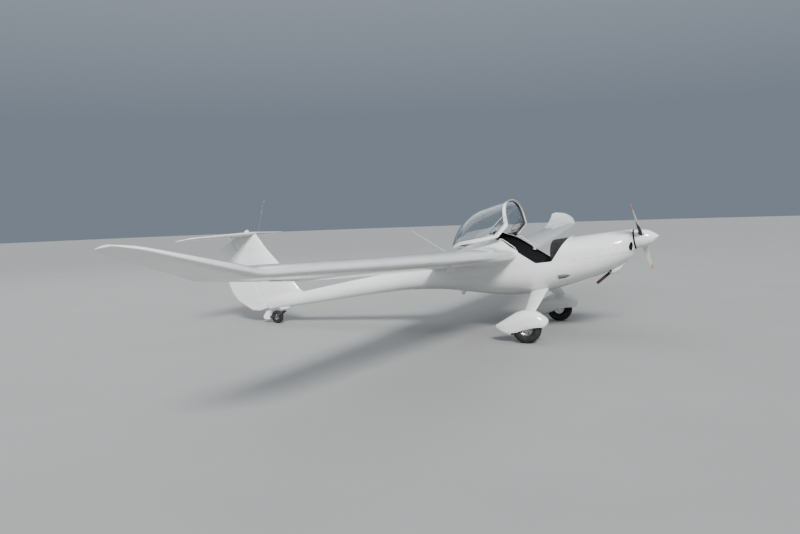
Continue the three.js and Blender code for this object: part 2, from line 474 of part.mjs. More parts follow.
for (const side of [-1, 1]) {
  const word = side > 0 ? 'right' : 'left';
  const leg = solid(loft(LEG.map((_, i) => legRing(i, side)))).subtract(bodyGrown);
  const spatOuter = solid(loft(SPAT_STATIONS.map((s) => spatRing(s, side, 0))));
  const room = solid(across(MAIN_HUB.b - 84, MAIN_HUB.b + 70, MAIN_HUB.s, MAIN_HUB.h, MAIN_TYRE_R + 16, side, 28))
    .add(solid(block(MAIN_HUB.s - MAIN_TYRE_R - 16, MAIN_HUB.s + MAIN_TYRE_R + 16, side * (MAIN_HUB.b - 84), side * (MAIN_HUB.b + 70), -1100, MAIN_HUB.h)));
  const legGrown = solid(loft(LEG.slice(2).map((_, i) => {
    const ring = legRing(i + 2, side), c = ring.reduce((t, v) => t.add(v), new THREE.Vector3()).multiplyScalar(1 / ring.length);
    return ring.map((v) => { const d = v.clone().sub(c); return v.clone().addScaledVector(d.normalize(), 1.2); });
  })));
  const spat = spatOuter.intersect(solid(loft(SPAT_STATIONS.map((s) => spatRing(s, side, 0))))).subtract(room).subtract(legGrown);
  // the legs' slot can leave slivers: only the largest body is kept
  const parts = spat.decompose().sort((a, b) => b.volume() - a.volume());
  piece('wheel_spat_' + word, shape(parts[0]), WHITE);
  piece('gear_leg_' + word, shape(leg.subtract(solid(across(870, 900, MAIN_HUB.s, MAIN_HUB.h, 12.5, side, 16)))), WHITE);
  piece('wheel_axle_' + word, shape(solid(across(877, 1024, MAIN_HUB.s, MAIN_HUB.h, 12, side, 16))), METAL);
  const rimProfile = [[13.5, -46], [38, -46], [44, -24], [MAIN_RIM_R - 0.5, -38], [MAIN_RIM_R - 0.5, 38], [44, 24], [38, 46], [13.5, 46], [13.5, -46]];
  const rim = new THREE.LatheGeometry(rimProfile.map(([r, y]) => new THREE.Vector2(r, y)), 24);
  rim.rotateZ(Math.PI / 2);
  rim.translate(-side * MAIN_HUB.b, MAIN_HUB.s, MAIN_HUB.h);
  piece('main_rim_' + word, rim, METAL);
  const w = MAIN_TYRE_W / 2, R = MAIN_TYRE_R;
  const tyreProfile = [[MAIN_RIM_R, -40], [128, -w], [R - 8, -40], [R, -16], [R, 16], [R - 8, 40], [128, w], [MAIN_RIM_R, 40], [MAIN_RIM_R, -40]];
  const tyre = new THREE.LatheGeometry(tyreProfile.map(([r, y]) => new THREE.Vector2(r, y)), 24);
  tyre.rotateZ(Math.PI / 2);
  tyre.translate(-side * MAIN_HUB.b, MAIN_HUB.s, MAIN_HUB.h);
  piece('main_tyre_' + word, tyre, RUBBER);
}

// ------------------------------------------------------------------ tailwheel
const TH = TAIL_HUB;
// fixed fairing under the boom ahead of the steering pin
const pinHead = loft([
  { s: 5404, w: 8, top: -236, bot: -258 }, { s: 5444, w: 26, top: -236, bot: -276 }, { s: 5504, w: 34, top: -236, bot: -292 },
  { s: 5564, w: 34, top: -236, bot: -296 }, { s: 5612, w: 28, top: -236, bot: -288 }].map((r) => {
  const ring = [];
  for (let i = 0; i < 12; i++) { const a = (i / 12) * 2 * Math.PI; ring.push(at(r.s, r.w * Math.cos(a), (r.top + r.bot) / 2 + ((r.top - r.bot) / 2) * Math.sin(a))); }
  return ring;
}));
piece('tailwheel_mount', shape(solid(pinHead).subtract(bodyGrown)), WHITE);
const forkCrown = solid(bar(at(TAIL_PIVOT_S, 0, -302), at(TAIL_PIVOT_S, 0, -316), 30, 16));
let fork = forkCrown;
for (const side of [-1, 1]) {
  const arm = slab([[5539, -306], [5597, -306], [5712, -370], [5712, -394], [5676, -396], [5539, -318]], side * 29, side * 35);
  fork = fork.add(solid(arm));
}
fork = fork.add(solid(block(5539, 5592, -34, 34, -318, -307)));
// mudguard behind the wheel, carried by the fork's arms
const GUARD = [[5796, -270], [5850, -270], [5905, -325], [5926, -352], [5912, -392], [5870, -404], [5808, -404], [5800, -382], [5799, -340]];
fork = fork.add(solid(slab(GUARD, -33, 33)));
for (const side of [-1, 1]) fork = fork.add(solid(slab([[5690, -370], [5806, -352], [5806, -384], [5690, -394]], side * 29, side * 35)));
const tailAxle = solid(bar(at(TH.s, -40, TH.h), at(TH.s, 40, TH.h), 6, 12));
piece('tailwheel_fork', shape(fork.add(tailAxle)), WHITE);
const tailRim = new THREE.LatheGeometry([[7.5, -20], [20, -20], [20, -10], [TAIL_RIM_R - 0.6, -15], [TAIL_RIM_R - 0.6, 15], [20, 10], [20, 20], [7.5, 20], [7.5, -20]].map(([r, y]) => new THREE.Vector2(r, y)), 20);
tailRim.rotateZ(Math.PI / 2);
tailRim.translate(0, TH.s, TH.h);
piece('tail_rim', tailRim, METAL);
const tw = TAIL_TYRE_W / 2, tr = TAIL_TYRE_R;
const tailTyre = new THREE.LatheGeometry([[TAIL_RIM_R, -16], [70, -tw], [tr - 4, -15], [tr, -6], [tr, 6], [tr - 4, 15], [70, tw], [TAIL_RIM_R, 16], [TAIL_RIM_R, -16]].map(([r, y]) => new THREE.Vector2(r, y)), 20);
tailTyre.rotateZ(Math.PI / 2);
tailTyre.translate(0, TH.s, TH.h);
piece('tail_tyre', tailTyre, RUBBER);

// ------------------------------------------------------------------ propeller and engine
const spinnerProfile = [[0, 0], [8, 5], [22, 20], [46, 48], [65, 72], [80, 94], [99, 146], [111, 200], [SPINNER_R, SPINNER_BASE_S], [0, SPINNER_BASE_S], [0, 0]];
const spinnerLathe = new THREE.LatheGeometry(spinnerProfile.map(([r, y]) => new THREE.Vector2(r, y)), 24);
const BLADE = [ // r radius, chord, thickness, pitch angle from the disc
  { r: 60, c: 64, t: 44, p: 58 }, { r: 122, c: 68, t: 34, p: 50 }, { r: 200, c: 84, t: 24, p: 40 }, { r: 320, c: 100, t: 18, p: 30 },
  { r: 460, c: 98, t: 14, p: 23 }, { r: 600, c: 84, t: 10, p: 18.5 }, { r: 720, c: 64, t: 7, p: 16 }, { r: 780, c: 44, t: 5, p: 15 }, { r: PROP_R, c: 22, t: 3, p: 15 },
];
const spin = PROP_ANGLE_DEG * RAD;
function bladeRing(r, k) {
  const ring = [], pitch = r.p * RAD;
  // blade axis in the (b, h) plane, leading edge turning clockwise seen from behind
  const dir = at(0, Math.sin(spin), Math.cos(spin)).multiplyScalar(k);
  const turn = new THREE.Vector3().crossVectors(dir, new THREE.Vector3(0, -1, 0));
  const chordDir = turn.clone().multiplyScalar(-Math.cos(pitch)).add(new THREE.Vector3(0, -Math.sin(pitch), 0));
  const faceDir = new THREE.Vector3().crossVectors(dir, chordDir);
  for (let i = 0; i < 10; i++) {
    const a = (i / 10) * 2 * Math.PI, u = Math.cos(a), v = Math.sin(a);
    ring.push(at(PROP_HUB_S, 0, 0).addScaledVector(dir, r.r).addScaledVector(chordDir, (u * r.c) / 2).addScaledVector(faceDir, (v * r.t) / 2));
  }
  return ring;
}
let spinner = solid(spinnerLathe);
const blades = [1, -1].map((k) => solid(loft(BLADE.map((r) => bladeRing(r, k)))));
const bladeSlots = [1, -1].map((k) => solid(loft(BLADE.slice(0, 3).map((r) => bladeRing({ ...r, c: r.c + 14, t: r.t + 14 }, k)))));
const bladeAxis = at(0, Math.sin(spin), Math.cos(spin));
const hubOf = (grow) => solid(bar(at(PROP_HUB_S, 0, 0).addScaledVector(bladeAxis, -72 - grow), at(PROP_HUB_S, 0, 0).addScaledVector(bladeAxis, 72 + grow), 36 + grow, 16))
  .add(solid(bar(at(PROP_HUB_S - 40 - grow, 0, 0), at(SPINNER_BASE_S + 60, 0, 0), 46 + grow, 16)));
const hub = hubOf(0);
const spinnerRoom = solid(new THREE.LatheGeometry([[0, 60], [56, 90], [92, 180], [109, SPINNER_BASE_S - 8], [0, SPINNER_BASE_S - 8], [0, 60]].map(([r, y]) => new THREE.Vector2(r, y)), 16));
const shaftRoom = solid(bar(at(SPINNER_BASE_S - 20, 0, 0), at(SPINNER_BASE_S + 20, 0, 0), 46.6, 16));
let shell = spinner.subtract(spinnerRoom).subtract(shaftRoom);
for (const cut of bladeSlots) shell = shell.subtract(cut);
piece('spinner', shape(shell), WHITE);
blades.forEach((m, i) => piece('propeller_blade_' + (i + 1), shape(m.subtract(hubOf(GAP))), WHITE));
piece('propeller_hub', shape(hub), DARK_METAL);
piece('engine_block', block(440, 940, -212, 212, -198, 60), DARK_METAL);
piece('firewall', shape(hull([FIREWALL_S + GAP, FIREWALL_S + 8], SKIN + GAP)), METAL);
piece('exhaust_pipe', tube([at(560, -30, -322), at(610, -32, -346), at(700, -34, -404), at(840, -36, -492)], 19, 7, 10), DARK_METAL);

// ------------------------------------------------------------------ cockpit
const cabinInner = hull(CABIN_STATIONS, SKIN + GAP);
const inCabin = (m) => m.intersect(cabinInner);
const FLOOR_H = -425, SEAT_B0 = 62, SEAT_B1 = 440;
const hoodRing = (s, inset) => hullRing(1062, inset).map((v) => new THREE.Vector3(v.x, s, v.z));
const hoodBlank = (s0, s1, inset) => solid(loft([hoodRing(s0, inset), hoodRing(s1, inset)]));
const aboveH = (h) => solid(block(900, 2400, -700, 700, h, 700));
const HOOD_END_S = 1284;
piece('glareshield', shape(hoodBlank(1064, HOOD_END_S, SKIN + 10).subtract(hoodBlank(1050, 1300, SKIN + 20)).intersect(aboveH(-150))), BLACK);
piece('instrument_panel', shape(hoodBlank(1262, 1272, SKIN + 20 + GAP).intersect(aboveH(-168))), BLACK);
piece('cabin_floor', shape(inCabin(solid(block(1100, 2170, -560, 560, FLOOR_H - 14, FLOOR_H)))), BLACK);
piece('seat_pan', shape(inCabin(solid(slab([
  [1452, FLOOR_H + GAP], [1462, -318], [1484, -300], [1790, -338], [1822, -322], [1996, 92], [2150, 92], [2150, 80],
  [2008, 80], [1840, -330], [1812, FLOOR_H + GAP], [1800, FLOOR_H + GAP], [1822, -346], [1800, -350], [1486, -312], [1474, -322], [1464, FLOOR_H + GAP]], -560, 560)))), BLACK);
piece('rear_bulkhead', shape(inCabin(solid(block(BULKHEAD_S, BULKHEAD_S + 10, -560, 560, -520, 340)))), WHITE);
piece('centre_console', slab([[1300, FLOOR_H + GAP], [1300, -250], [1330, -215], [1450, -212], [1480, -240], [1780, -262], [1786, -336], [1484, -299], [1461, -318], [1450, FLOOR_H + GAP]], -46, 46), BLACK);
for (const side of [-1, 1]) {
  const word = side > 0 ? 'right' : 'left';
  piece('seat_cushion_' + word, shape(inCabin(solid(slab([[1478, -298], [1480, -262], [1500, -238], [1560, -226], [1700, -246], [1800, -262], [1812, -290], [1806, -327], [1788, -335], [1486, -298]], side * SEAT_B0, side * SEAT_B1)))), FABRIC);
  piece('seat_back_' + word, slab([[1822.6, -316], [1815, -270], [1812, -236], [1936, 62], [1950, 112], [1972, 132], [1992, 124], [2004, 94], [1995, 92.6]], side * SEAT_B0, side * (SEAT_B1 - 30)), FABRIC);
  const stick = solid(tube([at(1424, side * 250, FLOOR_H + GAP), at(1420, side * 250, -380), at(1440, side * 250, -240), at(1432, side * 250, -150)], 11, 5, 8))
    .add(solid(bar(at(1436, side * 250, -196), at(1429, side * 250, -92), 17, 10))).subtract(solid(block(1380, 1480, -400, 400, FLOOR_H - 60, FLOOR_H + GAP)));
  piece('control_stick_' + word, shape(stick), BLACK);
}
let pedals = solid(bar(at(1128, -290, -340), at(1128, 290, -340), 9, 10));
for (const b of [-250, -120, 120, 250]) pedals = pedals.add(solid(slab([[1112, -384], [1122, -386], [1142, -262], [1132, -260]], b - 38, b + 38)));
for (const b of [-43, 43]) pedals = pedals.add(solid(slab([[1120, -345], [1138, -345], [1206, FLOOR_H + GAP], [1170, FLOOR_H + GAP]], b - 3, b + 3)));
piece('rudder_pedals', shape(pedals), DARK_METAL);

// ------------------------------------------------------------------ canopy, drawn closed, then swung open
const openUp = new THREE.Matrix4().makeTranslation(0, CANOPY_POLE.s, CANOPY_POLE.h)
  .multiply(new THREE.Matrix4().makeRotationX(-CANOPY_OPEN_DEG * RAD))
  .multiply(new THREE.Matrix4().makeTranslation(0, -CANOPY_POLE.s, -CANOPY_POLE.h));
const canopyShell = hull([1030, 1060, 1160, 1280, 1400, 1540, 1700, 1860, 2020, 2180], 0)
  .subtract(hull([1029, 1060, 1160, 1280, 1400, 1540, 1700, 1860, 2020, 2181], CANOPY_SKIN));
let frameSolid = canopyShell.intersect(rimPrism(0)).subtract(rimPrism(CANOPY_BAND));
for (const side of [-1, 1]) {                                    // lug and pin for the arm's eye, inside each front corner
  frameSolid = frameSolid
    .add(solid(slab([[1466, -118], [1497, -118], [1504, -70], [1500, -40], [1470, -50]], side * LINK.plate0, side * LINK.plate1)))
    .add(solid(slab([[1474, -80], [1500, -58], [1500, -38], [1474, -50]], side * LINK.plate0, side * 521)))
    .add(solid(bar(at(LINK.eye[0], side * LINK.pin0, LINK.eye[1]), at(LINK.eye[0], side * (LINK.plate0 + 4), LINK.eye[1]), LINK.pinR, 10)));
}
const frameGeo = shape(frameSolid);
frameGeo.applyMatrix4(openUp);
piece('canopy_frame', frameGeo, WHITE);
const glassGeo = shape(canopyShell.intersect(rimPrism(CANOPY_BAND + GAP)));
glassGeo.applyMatrix4(openUp);
piece('canopy_glass', glassGeo, GLASS);
const eyeOpen = new THREE.Vector3(0, LINK.eye[0], LINK.eye[1]).applyMatrix4(openUp);
for (const side of [-1, 1]) {
  const word = side > 0 ? 'right' : 'left';
  const p = at(LINK.pivot[0], side * LINK.b, LINK.pivot[1]), q = at(eyeOpen.y, side * LINK.b, eyeOpen.z);
  const d = q.clone().sub(p), up = new THREE.Vector3(0, -d.z, d.y).normalize();
  const mid = (t) => p.clone().addScaledVector(d, t).addScaledVector(up, LINK.bow * (t > 0.1 && t < 0.9 ? 1 : 0));
  let arm = solid(bar(p, mid(0.2), LINK.r, 6)).add(solid(bar(mid(0.2), mid(0.8), LINK.r, 6))).add(solid(bar(mid(0.8), q, LINK.r, 6)));
  for (const t of [0.2, 0.8]) arm = arm.add(solid(new THREE.SphereGeometry(LINK.r, 6, 4).translate(...mid(t).toArray())));
  for (const e of [p, q]) arm = arm.add(solid(bar(e.clone().add(at(0, -5, 0)), e.clone().add(at(0, 5, 0)), 11, 12)));
  for (const e of [p, q]) arm = arm.subtract(solid(bar(e.clone().add(at(0, -9, 0)), e.clone().add(at(0, 9, 0)), LINK.holeR, 10)));
  piece('canopy_link_' + word, shape(arm), METAL);
}

// ------------------------------------------------------------------ small fittings
const spine = (s) => column(HULL, s, 'top');
piece('whip_antenna', shape(solid(bar(at(2770, 0, spine(2770) - 6), at(3258, 0, 567), 3, 8))
  .add(solid(bar(at(2778, 0, spine(2778) - 8), at(2790, 0, spine(2778) + 10), 10, 12))).subtract(bodyGrown)), WHITE);
const keel = (s) => column(HULL, s, 'bot');
piece('belly_fin', shape(solid(slab([[2560, keel(2560) + 12], [2600, keel(2600) - 10], [2640, -418], [2662, -418], [2690, keel(2690) + 12]], -6, 6)).subtract(bodyGrown)), WHITE);
piece('air_probe', shape(solid(tube([at(5812, 0, TAIL_H + 8), at(5790, 0, TAIL_H + 20), at(5730, 0, 1100), at(5642, 0, 1340), at(5620, 0, 1384), at(5585, 0, 1392)], 4.5, 12, 6)).subtract(stabGrown)), WHITE);
piece('tail_beacon', shape(solid(slab([[5960, TAIL_H], [5966, 1002], [5984, 1014], [6016, 1012], [6044, 990], [6050, TAIL_H]], -18, 18)).subtract(stabGrown)), WHITE);
const TIE_B = 1800;
for (const side of [-1, 1]) {
  const word = side > 0 ? 'right' : 'left';
  const under = solid(block(2090, 2170, side * (TIE_B - 16), side * (TIE_B + 16), -10, 60));
  const cut = solid(loft(WING_STATIONS.map((b) => wingRing(b, side))));
  piece('tiedown_' + word, shape(under.subtract(cut).subtract(cut.translate(0, 0, -0.4))), WHITE);
}

export default aircraft;
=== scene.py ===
# Two-seat touring motor glider: fine surfaces and finishes round the fixed frame.
# Shapes are drawn in the level attitude, in millimetres: s aft of the spinner's tip, b to starboard, h over
# the thrust line. LEVEL turns them into the parked attitude, in metres, nose towards -Y.
import json
import math
import bpy
import bmesh
import numpy as np
from mathutils import Matrix, Vector

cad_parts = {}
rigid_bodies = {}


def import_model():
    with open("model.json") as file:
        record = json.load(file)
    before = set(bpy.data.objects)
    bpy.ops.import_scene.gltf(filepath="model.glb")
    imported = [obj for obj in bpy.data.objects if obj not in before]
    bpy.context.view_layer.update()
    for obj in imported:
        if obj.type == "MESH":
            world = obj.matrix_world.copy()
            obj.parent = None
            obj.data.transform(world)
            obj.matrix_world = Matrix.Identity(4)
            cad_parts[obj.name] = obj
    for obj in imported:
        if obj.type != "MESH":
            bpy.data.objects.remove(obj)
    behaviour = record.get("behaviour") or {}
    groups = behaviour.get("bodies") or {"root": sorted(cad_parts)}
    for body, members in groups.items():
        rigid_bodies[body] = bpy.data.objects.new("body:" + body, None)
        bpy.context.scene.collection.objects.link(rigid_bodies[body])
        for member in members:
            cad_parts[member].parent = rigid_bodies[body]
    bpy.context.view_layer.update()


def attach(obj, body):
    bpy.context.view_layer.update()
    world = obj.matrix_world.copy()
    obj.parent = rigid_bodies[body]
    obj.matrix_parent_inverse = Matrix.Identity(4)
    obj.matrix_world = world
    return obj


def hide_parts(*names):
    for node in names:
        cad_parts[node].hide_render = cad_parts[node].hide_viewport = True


for o in list(bpy.data.objects):
    bpy.data.objects.remove(o)
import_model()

PITCH = math.radians(7.63)
LEVEL = Matrix.Translation((0, -3.3212, 1.2342)) @ Matrix.Rotation(-PITCH, 4, "X")
GAP = 0.3
scene = bpy.context.scene


# ------------------------------------------------------------------ camera, floor and light
def camera():
    data = bpy.data.cameras.new("camera")
    data.sensor_width = 36.0
    data.lens = 34.83
    data.clip_end = 300
    cam = bpy.data.objects.new("camera", data)
    scene.collection.objects.link(cam)
    right, up, look = Vector((0.394199, -0.918362, -0.034909)), Vector((0.079357, -0.003829, 0.996839)), Vector((0.915593, 0.395723, -0.071369))
    m = Matrix((right, up, -look)).transposed().to_4x4()
    m.translation = Vector((-10.08851, -4.16876, 1.64256))
    cam.matrix_world = m
    scene.camera = cam


camera()


def area_light(name, size, energy, place, target, colour=(1, 1, 1)):
    data = bpy.data.lights.new(name, "AREA")
    data.shape = "RECTANGLE"
    data.size, data.size_y = size
    data.energy = energy
    data.color = colour
    o = bpy.data.objects.new(name, data)
    scene.collection.objects.link(o)
    o.location = place
    o.rotation_euler = (Vector(target) - Vector(place)).to_track_quat("-Z", "Y").to_euler()
    return o


def soft_sun(name, strength, width, towards, colour=(1, 1, 1)):
    data = bpy.data.lights.new(name, "SUN")
    data.energy = strength
    data.angle = math.radians(width)
    data.color = colour
    o = bpy.data.objects.new(name, data)
    scene.collection.objects.link(o)
    o.rotation_euler = (-Vector(towards)).to_track_quat("-Z", "Y").to_euler()
    return o


soft_sun("key_light", 3.2, 14, (-0.74, -0.42, 0.56), (1.0, 0.985, 0.955))
area_light("fill_light", (12, 7), 260, (-14.0, 5.0, 5.0), (0, 0.5, 0.8), (0.95, 0.975, 1.0))
area_light("back_light", (16, 12), 420, (6.0, 9.0, 12.5), (0, 0.8, 0.8))


def soft_dome():
    """An even dome: darker round the horizon, brighter overhead."""
    world = bpy.data.worlds.new("studio")
    scene.world = world
    world.use_nodes = True
    nt = world.node_tree
    back = nt.nodes["Background"]
    coord = nt.nodes.new("ShaderNodeTexCoord")
    axis = nt.nodes.new("ShaderNodeSeparateXYZ")
    blend = nt.nodes.new("ShaderNodeValToRGB")
    e = blend.color_ramp.elements
    e[0].position, e[0].color = 0.12, (0.185, 0.213, 0.252, 1)
    e[1].position, e[1].color = 0.95, (0.62, 0.66, 0.70, 1)
    nt.links.new(coord.outputs["Generated"], axis.inputs[0])
    nt.links.new(axis.outputs["Z"], blend.inputs["Fac"])
    nt.links.new(blend.outputs["Color"], back.inputs["Color"])
    back.inputs["Strength"].default_value = 1.0


soft_dome()
scene.view_settings.look = "AgX - Medium High Contrast"


# ------------------------------------------------------------------ materials
def ramp(nt, fac, stops):
    n = nt.nodes.new("ShaderNodeValToRGB")
    e = n.color_ramp.elements
    while len(e) < len(stops):
        e.new(0.5)
    for el, (p, c) in zip(e, stops):
        el.position = p
        el.color = (*c, 1) if len(c) == 3 else c
    nt.links.new(fac, n.inputs["Fac"])
    return n.outputs["Color"]


def noise(nt, vec, scale, detail=3.0, rough=0.5):
    n = nt.nodes.new("ShaderNodeTexNoise")
    n.inputs["Scale"].default_value = scale
    n.inputs["Detail"].default_value = detail
    n.inputs["Roughness"].default_value = rough
    nt.links.new(vec, n.inputs["Vector"])
    return n.outputs["Fac"]


def mapped(nt, scale=(1, 1, 1), rot=(0, 0, 0)):
    c = nt.nodes.new("ShaderNodeTexCoord")
    m = nt.nodes.new("ShaderNodeMapping")
    m.inputs["Scale"].default_value = scale
    m.inputs["Rotation"].default_value = rot
    nt.links.new(c.outputs["Object"], m.inputs["Vector"])
    return m.outputs["Vector"]


def bump(nt, height, strength, distance, normal=None):
    b = nt.nodes.new("ShaderNodeBump")
    b.inputs["Strength"].default_value = strength
    b.inputs["Distance"].default_value = distance
    nt.links.new(height, b.inputs["Height"])
    if normal is not None:
        nt.links.new(normal, b.inputs["Normal"])
    return b.outputs["Normal"]


def material(name, **socket):
    m = bpy.data.materials.new(name)
    m.use_nodes = True
    nt = m.node_tree
    p = nt.nodes["Principled BSDF"]
    for k, v in socket.items():
        key = k.replace("_", " ").title().replace("Ior", "IOR")
        p.inputs[key].default_value = v
    return m, nt, p


def gelcoat(name, light, shade, rough=(0.13, 0.24)):
    m, nt, p = material(name, coat_weight=0.55, coat_roughness=0.05, coat_ior=1.5)
    v = mapped(nt)
    streak = mapped(nt, (1.2, 0.35, 5.0))
    tone = ramp(nt, noise(nt, streak, 2.4, 5, 0.55), [(0.30, shade), (0.62, light)])
    nt.links.new(tone, p.inputs["Base Color"])
    r = ramp(nt, noise(nt, v, 7.0, 4), [(0.3, (rough[0],) * 3), (0.75, (rough[1],) * 3)])
    nt.links.new(r, p.inputs["Roughness"])
    big = bump(nt, noise(nt, v, 1.6, 2), 0.25, 0.004)
    nt.links.new(bump(nt, noise(nt, v, 90, 3), 0.08, 0.0006, big), p.inputs["Normal"])
    return m


WHITE = gelcoat("white_gelcoat", (0.80, 0.81, 0.80), (0.735, 0.745, 0.74))
WHITE_TOP = gelcoat("white_gelcoat_wing", (0.80, 0.81, 0.80), (0.74, 0.75, 0.745))


def lining():
    m, nt, p = material("cabin_lining", roughness=0.85)
    v = mapped(nt)
    nt.links.new(ramp(nt, noise(nt, v, 60, 4), [(0.3, (0.011, 0.012, 0.013)), (0.7, (0.026, 0.027, 0.030))]), p.inputs["Base Color"])
    nt.links.new(bump(nt, noise(nt, v, 420, 2), 0.6, 0.0008), p.inputs["Normal"])
    return m


def satin_black(name, lo=0.022, hi=0.045, rough=(0.45, 0.7), grain=900):
    m, nt, p = material(name)
    v = mapped(nt)
    nt.links.new(ramp(nt, noise(nt, v, 12, 4), [(0.3, (lo,) * 3), (0.7, (hi,) * 3)]), p.inputs["Base Color"])
    nt.links.new(ramp(nt, noise(nt, v, 30, 3), [(0.3, (rough[0],) * 3), (0.7, (rough[1],) * 3)]), p.inputs["Roughness"])
    vor = nt.nodes.new("ShaderNodeTexVoronoi")
    vor.inputs["Scale"].default_value = grain
    nt.links.new(v, vor.inputs["Vector"])
    nt.links.new(bump(nt, vor.outputs["Distance"], 0.35, 0.0005), p.inputs["Normal"])
    return m


def metal(name, lo, hi, rough=(0.25, 0.45), brushed=(1, 1, 30)):
    m, nt, p = material(name, metallic=1.0)
    v = mapped(nt, brushed)
    nt.links.new(ramp(nt, noise(nt, v, 14, 5), [(0.3, lo), (0.7, hi)]), p.inputs["Base Color"])
    nt.links.new(ramp(nt, noise(nt, v, 22, 4), [(0.3, (rough[0],) * 3), (0.75, (rough[1],) * 3)]), p.inputs["Roughness"])
    nt.links.new(bump(nt, noise(nt, v, 120, 3), 0.2, 0.0004), p.inputs["Normal"])
    return m


def rubber(name):
    m, nt, p = material(name)
    v = mapped(nt)
    nt.links.new(ramp(nt, noise(nt, v, 18, 6, 0.7), [(0.35, (0.020, 0.020, 0.021)), (0.55, (0.034, 0.033, 0.032)), (0.8, (0.085, 0.078, 0.068))]), p.inputs["Base Color"])
    nt.links.new(ramp(nt, noise(nt, v, 40, 4), [(0.3, (0.62,) * 3), (0.7, (0.9,) * 3)]), p.inputs["Roughness"])
    nt.links.new(bump(nt, noise(nt, v, 300, 4), 0.5, 0.0008), p.inputs["Normal"])
    return m


def cloth_material(name, a, b, thread=1100):
    m, nt, p = material(name, roughness=0.92, sheen_weight=0.35, sheen_roughness=0.5)
    v = mapped(nt)
    waves = []
    for axis in ("X", "Y"):
        w = nt.nodes.new("ShaderNodeTexWave")
        w.wave_type = "BANDS"
        w.bands_direction = axis
        w.inputs["Scale"].default_value = thread / 6.283
        w.inputs["Distortion"].default_value = 0.6
        w.inputs["Detail"].default_value = 1.0
        nt.links.new(v, w.inputs["Vector"])
        waves.append(w.outputs["Fac"])
    mul = nt.nodes.new("ShaderNodeMath")
    mul.operation = "MULTIPLY"
    nt.links.new(waves[0], mul.inputs[0])
    nt.links.new(waves[1], mul.inputs[1])
    mix = nt.nodes.new("ShaderNodeMath")
    mix.operation = "MULTIPLY_ADD"
    nt.links.new(mul.outputs[0], mix.inputs[0])
    mix.inputs[1].default_value = 0.5
    nt.links.new(noise(nt, v, 25, 4), mix.inputs[2])
    nt.links.new(ramp(nt, mix.outputs[0], [(0.35, a), (0.85, b)]), p.inputs["Base Color"])
    nt.links.new(bump(nt, mul.outputs[0], 0.6, 0.0009), p.inputs["Normal"])
    return m


def clear_canopy():
    m, nt, p = material("clear_acrylic", roughness=0.02, ior=1.45, transmission_weight=1.0, specular_ior_level=0.5)
    v = mapped(nt)
    nt.links.new(ramp(nt, noise(nt, v, 2.0, 2), [(0.2, (0.86, 0.90, 0.90)), (0.8, (0.93, 0.95, 0.95))]), p.inputs["Base Color"])
    nt.links.new(bump(nt, noise(nt, v, 1.3, 1), 0.08, 0.003), p.inputs["Normal"])
    return m


def painted(name, lo, hi, rough=0.4, coat=0.3):
    m, nt, p = material(name, roughness=rough, coat_weight=coat, coat_roughness=0.1)
    v = mapped(nt)
    nt.links.new(ramp(nt, noise(nt, v, 16, 5), [(0.3, lo), (0.75, hi)]), p.inputs["Base Color"])
    nt.links.new(bump(nt, noise(nt, v, 160, 3), 0.15, 0.0004), p.inputs["Normal"])
    return m


LINING = lining()
BLACK = satin_black("satin_black_plastic")
PANEL = satin_black("crackle_panel", 0.030, 0.060, (0.5, 0.75), 1500)
# near-black painted shade for the insides of ducts, slots, holes and the wheel rooms
SHADE_DARK = satin_black("painted_shade_inside", 0.008, 0.016, (0.8, 0.95), 500)
HOOD = satin_black("glareshield_vinyl", 0.014, 0.030, (0.55, 0.8), 1300)
ALU = metal("satin_aluminium", (0.42, 0.43, 0.44), (0.62, 0.63, 0.64))
STEEL = metal("bright_steel", (0.50, 0.50, 0.50), (0.72, 0.72, 0.71), (0.15, 0.3))
EXHAUST = metal("heated_steel", (0.10, 0.075, 0.055), (0.24, 0.20, 0.17), (0.45, 0.75), (1, 1, 1))
IRON = metal("engine_grey", (0.09, 0.09, 0.09), (0.18, 0.18, 0.18), (0.5, 0.8), (1, 1, 1))
TYRE = rubber("tyre_rubber")
SEAT = cloth_material("seat_cloth", (0.035, 0.038, 0.045), (0.085, 0.09, 0.105))
WEB = cloth_material("harness_webbing", (0.05, 0.055, 0.075), (0.12, 0.13, 0.17), 2200)
GLASS = clear_canopy()
ORANGE = painted("orange_paint", (0.70, 0.19, 0.035), (0.80, 0.26, 0.05))
BLADE_WHITE = painted("blade_white", (0.66, 0.66, 0.64), (0.76, 0.76, 0.74), 0.3, 0.4)
# black for the canopy's seal lines and lugs, and for the hinge gaps' inner faces, where it is painted shade
SEAL_AND_GAP_SHADE = satin_black("black_seal_and_gap_shade", 0.012, 0.025, (0.6, 0.8), 700)
# dark grey for the blades' rear face near the root: painted shade
BLADE_ROOT_SHADE = painted("blade_root_painted_shade", (0.045, 0.047, 0.052), (0.075, 0.078, 0.085), 0.6, 0.0)
FORK_GREY = painted("fork_enamel", (0.040, 0.041, 0.044), (0.070, 0.071, 0.075), 0.4, 0.3)
TRIM = painted("frame_trim", (0.10, 0.10, 0.105), (0.16, 0.16, 0.165), 0.6, 0.0)
# grey for the side scoops' bulge: painted shade
SCOOP_SHADE = painted("scoop_painted_shade", (0.20, 0.205, 0.21), (0.28, 0.285, 0.29), 0.5, 0.1)
# light grey for the clear plastic vent rails: painted sheen
RAIL_SHEEN = painted("vent_rail_painted_sheen", (0.50, 0.51, 0.50), (0.62, 0.63, 0.62), 0.35, 0.3)


# ------------------------------------------------------------------ mesh helpers (level frame, millimetres)
def raw(name, verts, faces):
    me = bpy.data.meshes.new(name)
    me.from_pydata([tuple(float(c) for c in v) for v in verts], [], [list(map(int, f)) for f in faces])
    me.validate()
    o = bpy.data.objects.new(name, me)
    scene.collection.objects.link(o)
    return o


